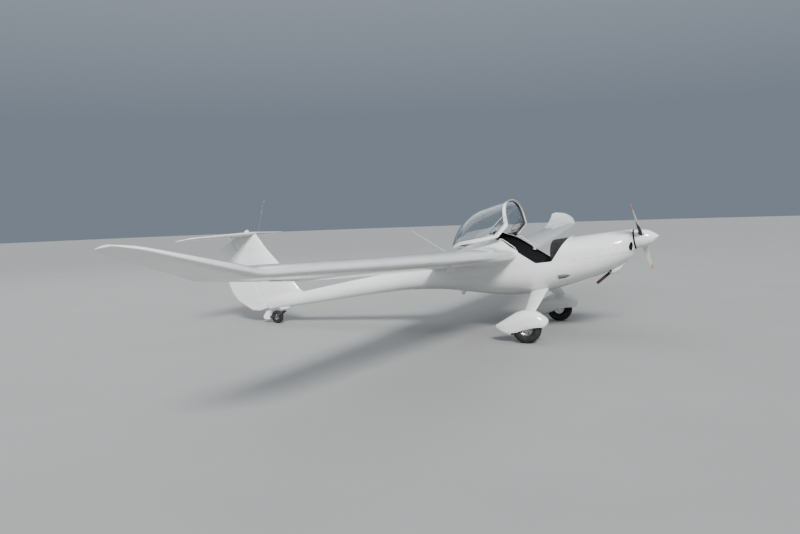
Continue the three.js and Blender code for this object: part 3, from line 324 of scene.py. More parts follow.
def outward(o):
    bm = bmesh.new()
    bm.from_mesh(o.data)
    bmesh.ops.remove_doubles(bm, verts=bm.verts, dist=1e-4)
    bmesh.ops.recalc_face_normals(bm, faces=bm.faces)
    if bm.calc_volume(signed=True) < 0:
        bmesh.ops.reverse_faces(bm, faces=bm.faces)
    bm.to_mesh(o.data)
    bm.free()
    return o


def P(s, b, h):
    return np.array([-b, s, h], float)


def loft(name, rings, caps=True):
    rings = [np.asarray(r, float) for r in rings]
    n = len(rings[0])
    verts = np.concatenate(rings)
    faces = []
    for i in range(len(rings) - 1):
        for j in range(n):
            a, b = i * n + j, i * n + (j + 1) % n
            faces.append((a, b, b + n, a + n))
    if caps:
        faces.append(tuple(range(n))[::-1])
        faces.append(tuple(range((len(rings) - 1) * n, len(rings) * n)))
    return outward(raw(name, verts, faces))


def slab(name, outline, b0, b1):
    n = len(outline)
    verts = [P(s, b0, h) for s, h in outline] + [P(s, b1, h) for s, h in outline]
    faces = [tuple(range(n)), tuple(range(n, 2 * n))[::-1]] + [(i, (i + 1) % n, n + (i + 1) % n, n + i) for i in range(n)]
    return outward(raw(name, verts, faces))


def frame_of(d):
    d = d / np.linalg.norm(d)
    u = np.cross(d, [0, 0, 1.0])
    if np.linalg.norm(u) < 1e-3:
        u = np.cross(d, [1.0, 0, 0])
    u /= np.linalg.norm(u)
    return d, u, np.cross(d, u)


def bar(name, p, q, r0, r1=None, segs=32):
    r1 = r0 if r1 is None else r1
    d, u, v = frame_of(q - p)
    a = np.linspace(0, 2 * math.pi, segs, endpoint=False)
    ring = lambda c, r: [c + r * (math.cos(t) * u + math.sin(t) * v) for t in a]
    return loft(name, [ring(p, r0), ring(q, r1)])


def tube(name, points, r, segs=16, caps=True):
    pts = [np.asarray(p, float) for p in points]
    radii = r if hasattr(r, "__len__") else [r] * len(pts)
    rings, u = [], None
    for i, p in enumerate(pts):
        t = pts[min(i + 1, len(pts) - 1)] - pts[max(i - 1, 0)]
        t = t / np.linalg.norm(t)
        if u is None:
            _, u, _ = frame_of(t)
        u = u - t * np.dot(u, t)
        u /= np.linalg.norm(u)
        v = np.cross(t, u)
        rings.append([p + radii[i] * (math.cos(a) * u + math.sin(a) * v) for a in np.linspace(0, 2 * math.pi, segs, endpoint=False)])
    return loft(name, rings, caps)


def curve(points, n):
    """n points on a Catmull-Rom curve through the given ones."""
    p = [np.asarray(q, float) for q in points]
    p = [2 * p[0] - p[1]] + p + [2 * p[-1] - p[-2]]
    out = []
    for t in np.linspace(0, len(p) - 3 - 1e-9, n):
        i, f = int(t), t - int(t)
        a, b, c, d = p[i], p[i + 1], p[i + 2], p[i + 3]
        out.append(0.5 * (2 * b + (c - a) * f + (2 * a - 5 * b + 4 * c - d) * f * f + (3 * b - 3 * c + d - a) * f ** 3))
    return out


def lathe(name, profile, axis_point, axis, segs=64):
    """profile of (radius, place along axis), closed on itself or ending on the axis."""
    d, u, v = frame_of(np.asarray(axis, float))
    verts, faces, rows = [], [], []
    for r, z in profile:
        if r < 1e-6:
            rows.append([len(verts)] * segs)
            verts.append(np.asarray(axis_point) + d * z)
        else:
            rows.append(list(range(len(verts), len(verts) + segs)))
            verts += [np.asarray(axis_point) + d * z + r * (math.cos(a) * u + math.sin(a) * v) for a in np.linspace(0, 2 * math.pi, segs, endpoint=False)]
    closed = profile[0] == profile[-1]
    if closed:
        rows[-1] = rows[0]
    for i in range(len(rows) - 1):
        for j in range(segs):
            k = (j + 1) % segs
            f = [rows[i][j], rows[i][k], rows[i + 1][k], rows[i + 1][j]]
            f = [x for n, x in enumerate(f) if x not in f[:n]]
            if len(f) > 2:
                faces.append(f)
    return outward(raw(name, verts, faces))


def box3(name, s0, s1, b0, b1, h0, h1):
    return slab(name, [(s0, h0), (s1, h0), (s1, h1), (s0, h1)], b0, b1)


def boolean(o, other, op, keep=False):
    m = o.modifiers.new("cut", "BOOLEAN")
    m.operation = op
    m.object = other
    m.solver = "MANIFOLD"
    bpy.context.view_layer.update()
    dg = bpy.context.evaluated_depsgraph_get()
    me = bpy.data.meshes.new_from_object(o.evaluated_get(dg))
    o.modifiers.clear()
    o.data = me
    if not keep:
        bpy.data.objects.remove(other)
    return o


def cut(o, *others, keep=False):
    for c in others:
        boolean(o, c, "DIFFERENCE", keep)
    return o


def join_solid(o, *others):
    for c in others:
        boolean(o, c, "UNION")
    return o


def common(o, other, keep=False):
    return boolean(o, other, "INTERSECT", keep)


def merged(name, objs):
    """Several meshes as one object, each keeping its materials."""
    bm = bmesh.new()
    mats = []
    for o in objs:
        idx = []
        for m in o.data.materials:
            if m not in mats:
                mats.append(m)
            idx.append(mats.index(m))
        before = len(bm.faces)
        bm.from_mesh(o.data)
        bm.faces.ensure_lookup_table()
        for f in bm.faces[before:]:
            f.material_index = idx[f.material_index] if idx and f.material_index < len(idx) else 0
    me = bpy.data.meshes.new(name)
    bm.to_mesh(me)
    bm.free()
    for m in mats:
        me.materials.append(m)
    for o in objs:
        bpy.data.objects.remove(o)
    o = bpy.data.objects.new(name, me)
    scene.collection.objects.link(o)
    return o


def paint(o, *mats):
    o.data.materials.clear()
    for m in mats:
        o.data.materials.append(m)
    return o


def bevel(o, width, segments=2, angle=35):
    m = o.modifiers.new("bevel", "BEVEL")
    m.width = width
    m.segments = segments
    m.limit_method = "ANGLE"
    m.angle_limit = math.radians(angle)
    m.use_clamp_overlap = True
    bpy.context.view_layer.update()
    me = bpy.data.meshes.new_from_object(o.evaluated_get(bpy.context.evaluated_depsgraph_get()))
    o.modifiers.clear()
    o.data = me
    return o


def shade(o, angle=32):
    me = o.data
    me.polygons.foreach_set("use_smooth", [True] * len(me.polygons))
    me.set_sharp_from_angle(angle=math.radians(angle))
    return o


def place(o, body="airframe", slot="body_white", stands_for=(), angle=32, smooth=True):
    """Into the parked attitude, in metres, riding on its body."""
    if smooth:
        shade(o, angle)
    o.data.transform(LEVEL @ Matrix.Scale(0.001, 4))
    o.data.update()
    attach(o, body)
    if stands_for:
        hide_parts(*stands_for)
    return o


# ------------------------------------------------------------------ lines of the aircraft
def table(keys, rows):
    return [dict(zip(keys, r)) for r in rows]


def column(tab, x, key, at="s"):
    """Smooth value from a table's column, monotone between the rows it has."""
    n = len(tab)
    if x <= tab[0][at]:
        return tab[0][key]
    if x >= tab[-1][at]:
        return tab[-1][key]
    i = 0
    while tab[i + 1][at] < x:
        i += 1
    slope = lambda a, b: (tab[b][key] - tab[a][key]) / (tab[b][at] - tab[a][at])
    m0 = slope(i, i + 1)

    def tan(k):
        if k == 0 or k == n - 1:
            return m0
        l, r = slope(k - 1, k), slope(k, k + 1)
        return 0.0 if l * r <= 0 else 2 * l * r / (l + r)
    w = tab[i + 1][at] - tab[i][at]
    t = (x - tab[i][at]) / w
    return tab[i][key] * (2 * t ** 3 - 3 * t ** 2 + 1) + tan(i) * w * (t ** 3 - 2 * t ** 2 + t) + tab[i + 1][key] * (3 * t ** 2 - 2 * t ** 3) + tan(i + 1) * w * (t ** 3 - t ** 2)


HULL = table(("s", "top", "bot", "w", "hm", "nu", "nl"), [
    (296, 128, -132, 140, -4, 2.0, 2.0), (318, 130, -168, 205, -14, 2.1, 2.1), (350, 132, -214, 252, -26, 2.2, 2.2),
    (420, 136, -262, 302, -42, 2.3, 2.3), (600, 143, -332, 358, -66, 2.4, 2.4), (800, 148, -392, 402, -82, 2.4, 2.4),
    (1000, 150, -430, 444, -96, 2.4, 2.4), (1060, 168, -441, 457, -100, 2.4, 2.4), (1200, 262, -464, 487, -112, 2.4, 2.4),
    (1320, 344, -482, 508, -122, 2.4, 2.4), (1450, 422, -496, 524, -130, 2.35, 2.4), (1570, 469, -504, 532, -130, 2.3, 2.4),
    (1710, 491, -508, 534, -126, 2.3, 2.4), (1860, 472, -501, 528, -118, 2.3, 2.35), (2050, 410, -478, 506, -104, 2.25, 2.3),
    (2300, 318, -432, 448, -88, 2.2, 2.2), (2600, 222, -366, 352, -76, 2.1, 2.1), (2900, 145, -306, 262, -76, 2.0, 2.0),
    (3200, 84, -268, 200, -84, 2.0, 2.0), (3600, 40, -240, 156, -96, 2.0, 2.0), (4200, 10, -238, 126, -112, 2.0, 2.0),
    (4800, -28, -249, 104, -136, 2.0, 2.0), (5300, -62, -254, 84, -156, 2.0, 2.0), (5600, -84, -258, 66, -168, 2.0, 2.0),
    (5842, -104, -262, 40, -180, 2.0, 2.0)])
_hull_cache = {}


def hull_row(s):
    k = round(s, 2)
    if k not in _hull_cache:
        _hull_cache[k] = tuple(column(HULL, s, c) for c in ("top", "bot", "w", "hm", "nu", "nl"))
    return _hull_cache[k]


def hull_ring(s, inset=0.0, n=128):
    top, bot, w, hm, nu, nl = hull_row(s)
    top, bot, w = top - inset, bot + inset, w - inset
    a = np.arange(n) / n * 2 * math.pi
    c, d = np.cos(a), np.sin(a)
    up = d >= -1e-12
    e = np.where(up, 2 / nu, 2 / nl)
    span = np.where(up, top - hm, hm - bot)
    x = w * np.sign(c) * np.abs(c) ** e
    z = hm + span * np.sign(d) * np.abs(d) ** e
    return np.stack([-x, np.full(n, float(s)), z], 1)


def hull_half(s, h, inset=0.0):
    """Half width of the hull at a station and height."""
    top, bot, w, hm, nu, nl = hull_row(s)
    top, bot, w = top - inset, bot + inset, w - inset
    n, span = (nu, top - hm) if h >= hm else (nl, hm - bot)
    d = min(1.0, abs(h - hm) / span)
    return w * (1 - d ** n) ** (1 / n)


def stations(*parts):
    out = []
    for a, b, step in parts:
        k = max(1, round((b - a) / step))
        out += [a + (b - a) * i / k for i in range(k)]
    return out + [parts[-1][1]]


def hull(name, st, inset=0.0, n=128):
    return loft(name, [hull_ring(s, inset, n) for s in st])


def inside_hull(c, inset):
    """For rows of level points: is each inside the hull drawn in by inset?"""
    out = np.zeros(len(c), bool)
    for i, (x, s, z) in enumerate(c):
        top, bot, w, hm, nu, nl = hull_row(min(max(s, 296), 5842))
        top, bot, w = top - inset, bot + inset, w - inset
        n, span = (nu, top - hm) if z >= hm else (nl, hm - bot)
        out[i] = span > 0 and abs(x / w) ** n + abs((z - hm) / span) ** n < 1
    return out


def faces_of(o):
    me = o.data
    c = np.empty(len(me.polygons) * 3)
    n = np.empty(len(me.polygons) * 3)
    me.polygons.foreach_get("center", c)
    me.polygons.foreach_get("normal", n)
    return c.reshape(-1, 3), n.reshape(-1, 3)


def tint(o, mats, pick):
    """Several materials on one mesh: pick(centres, normals) gives each face's material number."""
    paint(o, *mats)
    c, n = faces_of(o)
    o.data.polygons.foreach_set("material_index", np.asarray(pick(c, n), int))
    return o


class Smooth:
    """The unbroken surface that a cut mesh came from: it lends its normals."""

    def __init__(self, *objs):
        from mathutils.bvhtree import BVHTree
        verts, tris, normals = [], [], []
        for o in objs:
            me = o.data
            me.calc_loop_triangles()
            base = len(verts)
            verts += [v.co.copy() for v in me.vertices]
            normals += [v.normal.copy() for v in me.vertices]
            tris += [tuple(base + i for i in t.vertices) for t in me.loop_triangles]
        self.verts, self.tris, self.normals = verts, tris, normals
        self.tree = BVHTree.FromPolygons(verts, tris)

    def at(self, p, reach):
        loc, _, i, dist = self.tree.find_nearest(p, reach)
        if loc is None:
            return None
        a, b, c = self.tris[i]
        A, B, C = self.verts[a], self.verts[b], self.verts[c]
        v0, v1, v2 = B - A, C - A, loc - A
        d00, d01, d11, d20, d21 = v0.dot(v0), v0.dot(v1), v1.dot(v1), v2.dot(v0), v2.dot(v1)
        den = d00 * d11 - d01 * d01
        if abs(den) < 1e-12:
            return self.normals[a]
        v, w = (d11 * d20 - d01 * d21) / den, (d00 * d21 - d01 * d20) / den
        n = self.normals[a] * (1 - v - w) + self.normals[b] * v + self.normals[c] * w
        return n.normalized()


def lend(o, source, reach=0.6, limit=35, angle=32):
    """Smooth shading, with the source's normals wherever the mesh still lies on it."""
    me = o.data
    shade(o, angle)
    near = [source.at(v.co, reach) for v in me.vertices]
    have = np.array([n is not None for n in near])
    vn = np.array([tuple(n) if n is not None else (0, 0, 0) for n in near])
    loops = np.empty(len(me.loops), int)
    me.loops.foreach_get("vertex_index", loops)
    starts = np.empty(len(me.polygons), int)
    totals = np.empty(len(me.polygons), int)
    me.polygons.foreach_get("loop_start", starts)
    me.polygons.foreach_get("loop_total", totals)
    _, fn = faces_of(o)
    face = np.repeat(np.arange(len(starts)), totals)
    order = np.concatenate([np.arange(s, s + t) for s, t in zip(starts, totals)]) if len(starts) else np.array([], int)
    fl = np.empty(len(loops), int)
    fl[order] = face
    ln = vn[loops]
    ok = have[loops] & ((ln * fn[fl]).sum(1) > math.cos(math.radians(limit)))
    # a face takes all its corners from the source or none
    bad = np.zeros(len(starts), bool)
    np.logical_or.at(bad, fl, ~ok)
    ln[bad[fl]] = 0
    me.normals_split_custom_set([tuple(v) for v in ln])
    return o


RIM = [(985, 247), (1267, -108), (1465, -100), (1645, 48), (1868, 248), (2012, 335), (2122, 500)]


def offset_chain(chain, d):
    lines = []
    for (x0, y0), (x1, y1) in zip(chain, chain[1:]):
        l = math.hypot(x1 - x0, y1 - y0)
        nx, ny = -(y1 - y0) / l, (x1 - x0) / l
        lines.append((x0 + nx * d, y0 + ny * d, x1 + nx * d, y1 + ny * d))
    out = [lines[0][:2]]
    for (a, b, c, e), (p, q, r, t) in zip(lines, lines[1:]):
        dx1, dy1, dx2, dy2 = c - a, e - b, r - p, t - q
        k = ((p - a) * dy2 - (q - b) * dx2) / (dx1 * dy2 - dy1 * dx2)
        out.append((a + dx1 * k, b + dy1 * k))
    out.append(lines[-1][2:])
    return out


def rounded(points, radius, steps=6, closed=False):
    """An outline with its corners rounded; radius may be one number or one a corner."""
    p = [np.array(q, float) for q in points]
    n = len(p)
    out = []
    for i in range(n):
        if not closed and i in (0, n - 1):
            out.append(tuple(p[i]))
            continue
        r = radius[i] if hasattr(radius, "__len__") else radius
        a, b, c = p[i - 1], p[i], p[(i + 1) % n]
        u, v = a - b, c - b
        lu, lv = np.linalg.norm(u), np.linalg.norm(v)
        u, v = u / lu, v / lv
        cosang = float(np.clip(np.dot(u, v), -1, 1))
        half = math.acos(cosang) / 2
        if r <= 0 or half > math.pi / 2 - 0.02:
            out.append(tuple(b))
            continue
        t = min(r / math.tan(half), 0.48 * lu, 0.48 * lv)
        for k in range(steps + 1):
            w = k / steps
            q = (1 - w) ** 2 * (b + u * t) + 2 * w * (1 - w) * b + w * w * (b + v * t)
            out.append(tuple(q))
    return out


RIM_ROUND = (0, 46, 60, 130, 130, 110, 0)


def rim_outline(d, steps=8):
    chain = rounded(offset_chain(RIM, d), [r + (d if i in (1, 2) else -d) * 0.5 if r else 0 for i, r in enumerate(RIM_ROUND)], steps)
    return chain + [(chain[-1][0], 800), (chain[0][0], 800)]


def rim_prism(d, name="rim_prism"):
    return slab(name, rim_outline(d), -700, 700)


def ring_on_hull(s_h, out, side):
    """A point on the hull's surface at (s, h), moved outwards by out."""
    s, h = s_h
    return P(s, side * (hull_half(s, h) + out), h)


# ------------------------------------------------------------------ fuselage: pod, cockpit rim, boom
SKIN, GLASS_SKIN = 12, 9
COWL = stations((296, 380, 5), (380, 620, 12), (620, 1029.7, 16))
POD = stations((1030, 2700, 18))
BOOM = stations((2700.3, 3600, 30), (3600, 5842, 60))

pod = hull("pod", POD)
pod_skin = Smooth(pod)
cabin = hull("cabin", stations((1029, 2688, 40)), SKIN, 64)
cut(pod, cabin)
flange = hull("flange", stations((1035, 2300, 20)), SKIN - 0.5, 96)
cut(flange, hull("flange_in", stations((1034, 2310, 40)), SKIN + 17, 64))
common(flange, slab("rim_band", rim_outline(-16), -700, 700))
cut(flange, rim_prism(-5))
cut(pod, rim_prism(-5))
join_solid(pod, flange)
for side in (-1, 1):
    join_solid(pod, slab("plate", rounded([(1668, 34), (1712, 54), (1706, 88), (1692, 94), (1676, 88)], 6, 3, True), side * 481, side * 493),
               slab("plate_foot", [(1668, 34), (1712, 54), (1710, 66), (1671, 56)], side * 481, side * 512),
               bar("pivot_pin", P(1690.7, side * 461, 81.3), P(1690.7, side * 485, 81.3), 4, segs=24))


def pod_faces(c, n):
    inner = inside_hull(c, SKIN - 3)
    plate = (np.abs(c[:, 0]) < 494) & (c[:, 1] > 1660) & (c[:, 1] < 1716) & (c[:, 2] > 30) & (c[:, 2] < 96)
    # the cockpit side of the wall is lined, the turned-in rim stays white on top
    k = np.zeros(len(c), int)
    for i, (x, s, z) in enumerate(c):
        if not inner[i] or plate[i]:
            continue
        on_top = n[i] @ np.array([0, 0, 1]) > 0.2 and near_rim(s, z, -5, 1.5)
        k[i] = 0 if on_top else 1
    return k


def near_rim(s, z, d, tol):
    pts = RIM_LINES[d]
    p = np.array([s, z])
    a, b = pts[:-1], pts[1:]
    t = np.clip(((p - a) * (b - a)).sum(1) / ((b - a) ** 2).sum(1), 0, 1)
    return np.min(np.linalg.norm(a + (b - a) * t[:, None] - p, axis=1)) < tol


RIM_LINES = {-5: np.array(rim_outline(-5)[:-2], float)}
tint(pod, [WHITE, LINING], pod_faces)
lend(pod, pod_skin)
place(pod, "airframe", "body_white", ("fuselage_shell",), smooth=False)


# ------------------------------------------------------------------ cowlings
CW_SKIN, SPLIT_H = 7, -140
cowl = hull("cowl", COWL, n=144)
cowl_skin = Smooth(cowl)
cut(cowl, hull("cowl_in", stations((306, 470, 12), (470, 1035, 40)), CW_SKIN, 72), bar("shaft_hole", P(280, 0, 0), P(330, 0, 0), 62, segs=64))


def ellipse_plug(name, s0, s1, b, h, rb, rh, segs=40):
    a = np.linspace(0, 2 * math.pi, segs, endpoint=False)
    return loft(name, [[P(s, b + rb * math.cos(t), h + rh * math.sin(t)) for t in a] for s in (s0, s1)])


for side in (-1, 1):
    cut(cowl, ellipse_plug("inlet", 260, 420, side * 196, -74, 46, 50))
cut(cowl, box3("outlet_hole", 560, 640, -85, 85, -420, -300))
LIP = table(("s", "w", "top", "bot"), [(425, 60, -250, -266), (470, 92, -268, -312), (520, 108, -288, -368), (570, 112, -300, -390), (614, 112, -312, -402)])


def lip_ring(s, t, n=64):
    v = {k: column(LIP, min(s, 614), k) for k in ("w", "top", "bot")}
    a = np.arange(n) / n * 2 * math.pi
    c, d = np.cos(a), np.sin(a)
    mid = v["top"] - 20
    span = np.where(d >= 0, 20 - t, mid - v["bot"] - t)
    return np.stack([(v["w"] - t) * np.sign(c) * np.abs(c) ** 0.7, np.full(n, float(s)), mid + span * np.sign(d) * np.abs(d) ** 0.7], 1)


LIP_ST = stations((425, 614, 9))
lip = loft("lip", [lip_ring(s, 0) for s in LIP_ST])
lip_skin = Smooth(lip)
lip_in = loft("lip_in", [lip_ring(s, 6) for s in stations((470, 614, 18))] + [lip_ring(640, 6)])
cut(lip, lip_in, keep=True)
cut(lip, hull("cowl_in2", stations((306, 470, 12), (470, 1035, 40)), CW_SKIN, 72))
upper = cowl
lower = cowl.copy()
lower.data = cowl.data.copy()
scene.collection.objects.link(lower)
common(upper, box3("upper_half", 200, 1100, -700, 700, SPLIT_H + 0.8, 600))
common(lower, box3("lower_half", 200, 1100, -700, 700, -700, SPLIT_H - 0.8))
cut(lower, lip_in)
join_solid(lower, lip)


# the cowlings' inner faces, their front face round the spinner and the outlet lip's inner side are painted near-black:
# painted shade inside the cowling and its openings
def cowl_faces(c, n):
    inner = inside_hull(c, CW_SKIN - 2)
    out = np.where(inner & (c[:, 1] > 301), 1, 0)
    out[(c[:, 1] < 297.5) & (np.hypot(c[:, 0], c[:, 2]) < 122)] = 1
    lipside = (c[:, 1] > 426) & (c[:, 1] < 613) & (np.abs(c[:, 0]) < 108) & (c[:, 2] < -250) & ~inner
    for i in np.where(lipside)[0]:
        v = {k: column(LIP, c[i, 1], k) for k in ("w", "top", "bot")}
        inward = n[i, 2] > 0.2 and c[i, 2] < v["bot"] + 9
        if inward:
            out[i] = 1
    return out


tint(upper, [WHITE, SHADE_DARK], cowl_faces)
lend(upper, cowl_skin)


class Pair:
    def __init__(self, *s):
        self.s = s

    def at(self, p, reach):
        for s in self.s:
            n = s.at(p, reach)
            if n is not None:
                return n
        return None


tint(lower, [WHITE, SHADE_DARK], cowl_faces)
lend(lower, Pair(cowl_skin, lip_skin))
place(upper, slot="body_white", stands_for=("upper_cowling",), smooth=False)
place(lower, slot="body_white", stands_for=("lower_cowling",), smooth=False)

# raised inlet lips beside the spinner, with the duct behind them painted near-black as painted shade
for side in (-1, 1):
    word = "right" if side > 0 else "left"
    rings = []
    for rr, ds in ((0, -1.0), (3.0, -2.0), (6.0, -1.0), (7.5, 1.5)):
        ring = []
        for t in np.linspace(0, 2 * math.pi, 64, endpoint=False):
            b, h = side * 196 + (46 + rr) * math.cos(t), -74 + (50 + rr) * math.sin(t)
            s = 296
            for _ in range(30):
                if hull_half(s, h) >= abs(b):
                    break
                s += 2.5
            ring.append(P(s + ds, b, h))
        rings.append(ring)
    lipr = loft("inlet_lip_" + word, [[q + np.array([0, 6, 0]) for q in rings[0]]] + rings + [[q + np.array([0, 5, 0]) for q in rings[-1]]], caps=False)
    paint(lipr, WHITE)
    place(lipr)
    throat = loft("inlet_duct_" + word, [[P(s, side * 196 + (45.5 - k * 7) * math.cos(t), -74 + (49.5 - k * 7) * math.sin(t)) for t in np.linspace(0, 2 * math.pi, 40, endpoint=False)] for s, k in ((322, 0), (370, 0.5), (410, 1.3), (430, 2.2))], caps=False)
    so = throat.modifiers.new("wall", "SOLIDIFY")
    so.thickness = 2.0
    so.offset = -1
    bpy.context.view_layer.update()
    me = bpy.data.meshes.new_from_object(throat.evaluated_get(bpy.context.evaluated_depsgraph_get()))
    throat.modifiers.clear()
    throat.data = me
    paint(throat, SHADE_DARK)
    place(throat, slot="cabin_black")

boom = hull("boom", BOOM)
boom_skin = Smooth(boom)

# ------------------------------------------------------------------ wings and ailerons
WING = table(("b", "sLE", "sTE", "hLE", "hTE", "tc"), [
    (200, 1676, 2948, 17, -8, 0.172), (530, 1690, 2932, 34, 6, 0.172), (2600, 1840, 2830, 139, 105, 0.168),
    (4000, 1942, 2770, 211, 178, 0.162), (5400, 2043, 2690, 284, 299, 0.155), (5600, 2062, 2682, 296, 320, 0.152),
    (5800, 2086, 2664, 338, 378, 0.150), (6100, 2160, 2664, 424, 460, 0.140), (6300, 2256, 2666, 498, 524, 0.125),
    (6420, 2372, 2668, 560, 566, 0.11), (6500, 2530, 2670, 607, 604, 0.09)])
CAMBER, CAMBER_AT = 0.042, 0.4
HINGE_X, AIL_FROM, AIL_TO, AIL_0, AIL_1, AIL_END = 0.775, 4000, 5400, 4020, 5380, 8
NOSE_INSET, NOSE_ROOM = 1.5, 7.5


def thick(x, tc):
    return 5 * tc * (0.2969 * np.sqrt(x) - 0.126 * x - 0.3516 * x * x + 0.2843 * x ** 3 - 0.1015 * x ** 4) + 0.0008


def mean_line(x):
    x = np.asarray(x, float)
    return np.where(x < CAMBER_AT, (CAMBER / CAMBER_AT ** 2) * (2 * CAMBER_AT * x - x * x),
                    (CAMBER / (1 - CAMBER_AT) ** 2) * (1 - 2 * CAMBER_AT + 2 * CAMBER_AT * x - x * x))


def foil(tc, steps):
    x = 0.5 * (1 + np.cos(np.pi * np.arange(steps + 1) / steps))
    up = np.stack([x, mean_line(x) + thick(x, tc)], 1)
    x2 = x[::-1][1:]
    low = np.stack([x2, mean_line(x2) - thick(x2, tc)], 1)
    return np.concatenate([up, low])


def wing_values(b):
    if AIL_FROM <= b <= AIL_TO:
        u, v, t = WING[3], WING[4], (b - AIL_FROM) / (AIL_TO - AIL_FROM)
        return {k: u[k] + t * (v[k] - u[k]) for k in ("sLE", "sTE", "hLE", "hTE", "tc")}
    return {k: column(WING, b, k, "b") for k in ("sLE", "sTE", "hLE", "hTE", "tc")}


FOIL_N = 44


def wing_section(b):
    """(s, h) round the section, and its outward normals."""
    r = wing_values(b)
    c = r["sTE"] - r["sLE"]
    f = foil(r["tc"], FOIL_N)
    sh = np.stack([r["sLE"] + f[:, 0] * c, r["hLE"] + f[:, 0] * (r["hTE"] - r["hLE"]) + f[:, 1] * c], 1)
    return sh


def section_normals(sh):
    d = np.roll(sh, -1, 0) - np.roll(sh, 1, 0)
    d[0] = sh[1] - sh[-1]
    n = np.stack([-d[:, 1], d[:, 0]], 1)
    n /= np.linalg.norm(n, axis=1)[:, None] + 1e-9
    c = sh.mean(0)
    if ((sh - c) * n).sum() < 0:
        n = -n
    return n


FILLET_AT = 190.0


def fillet(d, R):
    d = np.clip(d, 0, R)
    return R - np.sqrt(R * R - (R - d) ** 2)


def wing_lattice(side):
    """Rings of the wing: near the root each chordwise line starts at the fuselage wall and swells into it."""
    sh0 = wing_section(530)
    wall = np.array([hull_half(min(max(s, 1500), 3400), h) for s, h in sh0])
    x = (sh0[:, 0] - sh0[:, 0].min()) / (sh0[:, 0].max() - sh0[:, 0].min())
    upper_side = np.arange(len(sh0)) <= FOIL_N
    R = np.where(upper_side, 34 + 60 * x, 26 + 44 * x)
    runout = np.sqrt(np.clip(1 - (np.clip(x - 0.80, 0, 1) / 0.20) ** 2, 0, 1))
    steps = [-40, -12, 0, 1, 3, 6, 10, 15, 22, 30, 40, 52, 66, 82, 104]
    rings = []
    for d in steps:
        off = fillet(np.full(len(sh0), max(d, 0.0)), R) if d < 104 else np.zeros(len(sh0))
        off = np.where(np.array([d] * len(sh0)) >= R, 0, off) * runout
        # the wall leans in above and below the wing, and the fillet leans with it
        lean = np.array([hull_half(min(max(s, 1500), 3400), h + (q if u else -q)) for (s, h), q, u in zip(sh0, off, upper_side)])
        pts = []
        for i in range(len(sh0)):
            b = max(lean[i], wall[i] - 85) + d
            pts.append((b, i))
        ring = np.zeros((len(sh0), 3))
        for b, i in pts:
            r = wing_values(b)
            c = r["sTE"] - r["sLE"]
            f = FOIL_CACHE(r["tc"])[i]
            s, h = r["sLE"] + f[0] * c, r["hLE"] + f[0] * (r["hTE"] - r["hLE"]) + f[1] * c
            ring[i] = P(s, side * b, h)
        nrm = section_normals(np.stack([ring[:, 1], ring[:, 2]], 1))
        ring[:, 1] += nrm[:, 0] * off
        ring[:, 2] += nrm[:, 1] * off
        rings.append(ring)
    for b in stations((700, 2600, 95), (2600, 4000, 100), (4000, 5400, 100), (5400, 6300, 25), (6300, 6500, 10)):
        sh = wing_section(b)
        rings.append(np.stack([np.full(len(sh), -side * b), sh[:, 0], sh[:, 1]], 1))
    return rings


_foils = {}


def FOIL_CACHE(tc):
    k = round(float(tc), 5)
    if k not in _foils:
        _foils[k] = foil(k, FOIL_N)
    return _foils[k]


def chord_point(b, side, x):
    """On the mean line at x of the chord, with the half thickness there, as the joint's axis was taken."""
    r = wing_values(b)
    c = r["sTE"] - r["sLE"]
    f = foil(r["tc"], 10)
    up, low = f[:11][::-1], f[10:]
    y = lambda line: float(np.interp(x, line[:, 0], line[:, 1]))
    top, bottom = y(up), y(low[np.argsort(low[:, 0])])
    return P(r["sLE"] + x * c, side * b, r["hLE"] + x * (r["hTE"] - r["hLE"]) + (top + bottom) / 2 * c), (top - bottom) / 2 * c


def nose_row(b, side):
    (p, rp), (q, rq) = chord_point(AIL_FROM, side, HINGE_X), chord_point(AIL_TO, side, HINGE_X)
    t = (b - AIL_FROM) / (AIL_TO - AIL_FROM)
    return p + t * (q - p), rp + t * (rq - rp)


def nose_loft(name, rows, grow, segs=48):
    d = rows[-1][0] - rows[0][0]
    d = d / np.linalg.norm(d)
    u = np.cross([0, 1.0, 0], d)
    u /= np.linalg.norm(u)
    v = np.cross(d, u)
    a = np.arange(segs) / segs * 2 * math.pi
    return loft(name, [[p + (r + grow) * (math.cos(t) * u + math.sin(t) * v) for t in a] for p, r in rows])


GROWN_ST = stations((1030, 2700, 30), (2700, 3600, 40), (3600, 5842.6, 70))
grown = hull("grown", GROWN_ST, -GAP, 160)


def aileron_bay(side, b0, b1, front):
    ring = []
    for b in (b0, b1):
        p, _ = nose_row(b, side)
        ring.append([P(p[1] + ds, side * b, p[2] + dh) for ds, dh in ((front, 200), (600, 200), (600, -200), (front, -200))])
    return loft("bay", ring)


def seam(name, points, half, depth_dir, depth):
    """A narrow prism along a line on a surface, to cut a seam with."""
    obs = []
    for p, q in zip(points, points[1:]):
        p, q = np.array(p, float), np.array(q, float)
        t = (q - p) / np.linalg.norm(q - p)
        w = np.cross(t, depth_dir)
        w /= np.linalg.norm(w)
        p, q = p - t * half, q + t * half
        k = np.array(depth_dir, float)
        obs.append(loft(name, [[a + w * half + k * 4, a - w * half + k * 4, a - w * half - k * depth, a + w * half - k * depth] for a in (p, q)]))
    return obs


def wing_surface(b, x, upper=True):
    r = wing_values(b)
    c = r["sTE"] - r["sLE"]
    y = float(mean_line(x)) + (1 if upper else -1) * float(thick(np.array(x), r["tc"]))
    return r["sLE"] + x * c, r["hLE"] + x * (r["hTE"] - r["hLE"]) + y * c


